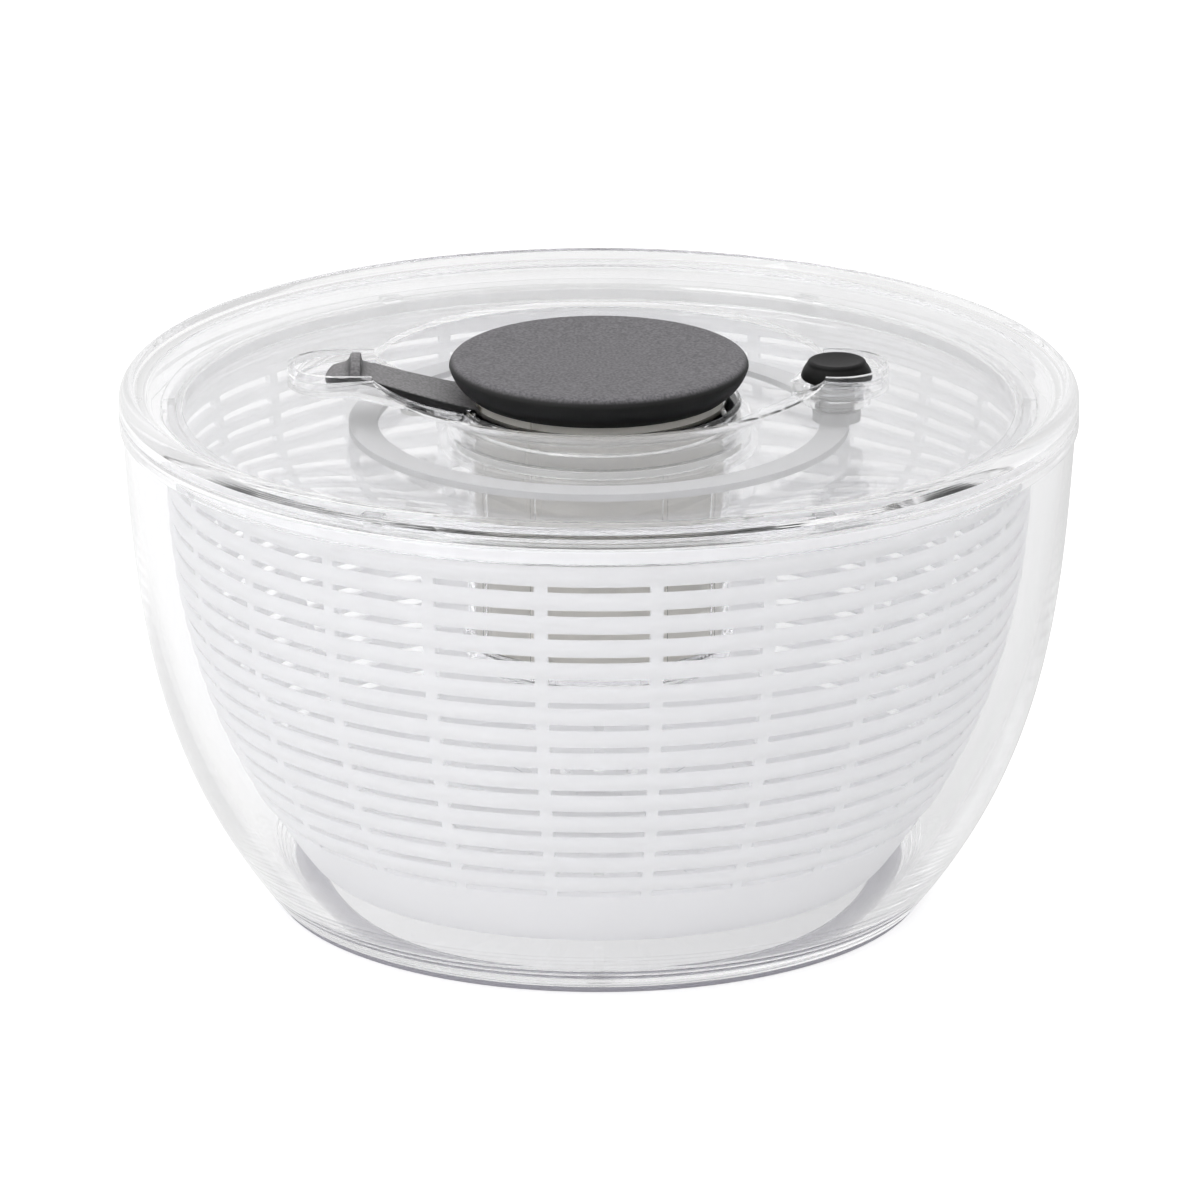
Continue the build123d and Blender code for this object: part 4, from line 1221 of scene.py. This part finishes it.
@dataclass
class Springs:
    """The two coil springs, which sit between the lid and what each pushes; here each stays where it was imported."""

    def build(self) -> None:
        """Copy each imported spring as a fixed steel piece and hide its imported node."""
        for node, name, body in (("return_spring", "knob_spring", "plunger"),
                                 ("brake_spring", "button_spring", "brake")):
            spring = welded(node, name)
            STEEL.dress(spring)
            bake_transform(spring)
            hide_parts(node)
            LOG.info("%s stretches between lid and %s", name, body)


@dataclass
class InnerWorks:
    """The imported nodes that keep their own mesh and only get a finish."""

    def build(self) -> None:
        """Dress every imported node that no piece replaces."""
        for node in ("pivot_pin", "pivot_cup", "retaining_ring", "ratchet_ring", "thrust_washer", "drive_spindle",
                     "clutch_plate", "drive_nut", "lever_clip", "knob_core"):
            (HARD_CORE if node == "knob_core" else ACETAL).dress(FRAME["nodes"][node])
            LOG.info("%s keeps its packed mesh", node)


# ------------------------------------------------------------------ stage


@dataclass(frozen=True)
class Lamp:
    """A square soft light that faces the object."""

    name: str
    place: Spot
    size: float
    power: float

    def hang(self) -> None:
        """Put the lamp into the scene."""
        data = bpy.data.lights.new(self.name, "AREA")
        data.size = self.size
        data.energy = self.power
        lamp = placed(self.name, data)
        lamp.location = self.place
        lamp.rotation_mode = "QUATERNION"
        lamp.rotation_quaternion = (Vector((0, 0, 0.08)) - Vector(self.place)).to_track_quat("-Z", "Y")


LAMPS = (Lamp("key_light", (-1.0, -0.5, 1.9), 1.3, 9.0), Lamp("fill_light", (-0.9, -1.6, 0.4), 0.8, 1.7))


@dataclass
class Studio:
    """White backdrop, soft light and a long-lens camera a little above the lid."""

    distance: float = 3.0
    elevation: float = 18.19
    aim_height: float = 0.0833
    aim_side: float = 0.0003
    lens: float = 322.05
    surround: float = 0.85
    overhead: float = 0.4
    made_up: float = 0.27
    most_walls: int = 10
    backdrop: float = 0.95
    right_shade: float = 0.25
    fall_off: float = 0.6
    floor_fall: float = 0.2
    room_shade: float = 0.28
    room_edge: Point = (0.75, 0.97)
    floor_colour: float = 0.9
    floor_matte: float = 0.55
    floor_glow: float = 0.68
    floor_in_glass: float = 0.12
    bounces: int = 256
    diffuse_bounces: int = 16

    def build(self) -> None:
        """Make the camera, the lights, the floor and the world."""
        self.camera()
        self.floor()
        self.world()
        for lamp in LAMPS:
            lamp.hang()
        bpy.context.scene.view_settings.view_transform = "Standard"
        cycles = bpy.context.scene.cycles
        cycles.max_bounces = self.bounces
        cycles.diffuse_bounces = self.diffuse_bounces
        cycles.glossy_bounces = self.bounces
        cycles.transmission_bounces = self.bounces

    def camera(self) -> None:
        """Place the camera on its line of sight."""
        data = bpy.data.cameras.new("camera")
        data.lens = self.lens
        data.sensor_width = 36.0
        data.clip_end = 50.0
        camera = placed("camera", data)
        tilt = math.radians(self.elevation)
        back = Vector((0.0, -math.cos(tilt), math.sin(tilt)))
        camera.location = Vector((self.aim_side, 0.0, self.aim_height)) + back * self.distance
        camera.rotation_mode = "QUATERNION"
        camera.rotation_quaternion = (-back).to_track_quat("-Z", "Y")
        bpy.context.scene.camera = camera

    def floor(self) -> None:
        """Lay a pale floor that takes a faint shadow."""
        mesh = bpy.data.meshes.new("floor")
        mesh.from_pydata([(-6, -6, 0), (6, -6, 0), (6, 6, 0), (-6, 6, 0)], [], [(0, 1, 2, 3)])
        mesh.materials.append(material_of("pale_floor", self.floor_surface))
        placed("floor", mesh)

    def floor_surface(self, graph: Graph) -> Socket:
        """Return the floor's shader: white to the camera, a little greyer through the clear walls."""
        path = graph.node("ShaderNodeLightPath")
        camera, glossy, through = (Socket(graph, path.outputs[f"Is {kind} Ray"])
                                   for kind in ("Camera", "Glossy", "Transmission"))
        across = graph.parts(graph.socket("ShaderNodeTexCoord", output="Object"))[0]
        greyer = across.ramp(-self.floor_fall, self.floor_fall) * self.right_shade
        level = self.backdrop - self.floor_in_glass
        plain = graph.socket("ShaderNodeBsdfDiffuse", inputs={"Color": grey(self.floor_colour)})
        open_air = self.glowing(graph, self.floor_matte, self.floor_glow)
        in_glass = self.glowing(graph, self.floor_in_glass, (level - greyer) * self.make_up(graph, path))
        mixed = graph.socket("ShaderNodeMixShader", inputs={0: glossy.at_least(through), 1: plain, 2: in_glass})
        return graph.socket("ShaderNodeMixShader", inputs={0: camera, 1: mixed, 2: open_air})

    def make_up(self, graph: Graph, path: bpy.types.Node) -> Socket:
        """Return a factor above 1 for light that reached a matte surface through clear walls."""
        walls, turns = (Socket(graph, path.outputs[f"{kind} Depth"]) for kind in ("Transmission", "Diffuse"))
        return walls.at_most(float(self.most_walls)) * turns.greater(0.5) * self.made_up + 1.0

    def glowing(self, graph: Graph, matte: float, strength: Term) -> Socket:
        """Return a matte shader that takes the shadow, with white light of its own added."""
        shadowed = graph.socket("ShaderNodeBsdfDiffuse", inputs={"Color": grey(matte)})
        lit = graph.socket("ShaderNodeEmission", inputs={"Color": grey(1.0), "Strength": strength})
        return graph.socket("ShaderNodeAddShader", inputs={0: shadowed, 1: lit})

    def world(self) -> None:
        """Surround the object with white, with a greyer backdrop in the glass and a dark room in front."""
        world = bpy.data.worlds.new("studio")
        bpy.context.scene.world = world
        world.use_nodes = True
        graph = Graph(world.node_tree)
        path = graph.node("ShaderNodeLightPath")
        camera, glossy, through = (Socket(graph, path.outputs[f"Is {kind} Ray"])
                                   for kind in ("Camera", "Glossy", "Transmission"))
        scattered = Socket(graph, path.outputs["Diffuse Depth"]).greater(0.5)
        straight = glossy.at_least(through) * (1 - scattered)
        right, back, up = graph.parts(graph.socket("ShaderNodeTexCoord", output="Generated"))
        side_fall = right.ramp(-self.fall_off, self.fall_off) * self.right_shade
        room_fall = (back * -1.0).ramp(*self.room_edge) * self.room_shade
        around = (self.surround + up.ramp(0.0, 1.0) * self.overhead) * self.make_up(graph, path)
        strength = camera.at_least((1 - straight) * around + straight * (self.backdrop - side_fall - room_fall))
        background = graph.socket("ShaderNodeBackground", inputs={"Color": grey(1.0), "Strength": strength})
        graph.node("ShaderNodeOutputWorld", inputs={"Surface": background})


def main() -> None:
    """Build each sub-assembly in order and set the stage."""
    logging.basicConfig(level=logging.INFO, format="%(message)s")
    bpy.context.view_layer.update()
    for assembly in (Studio(), Bowl(), Basket(), Drive(), Lid(), Lever(), Knob(), Brake(), Springs(),
                     InnerWorks()):
        assembly.build()
        LOG.info("built %s", type(assembly).__name__)


if __name__ == "__main__":
    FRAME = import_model()
    main()
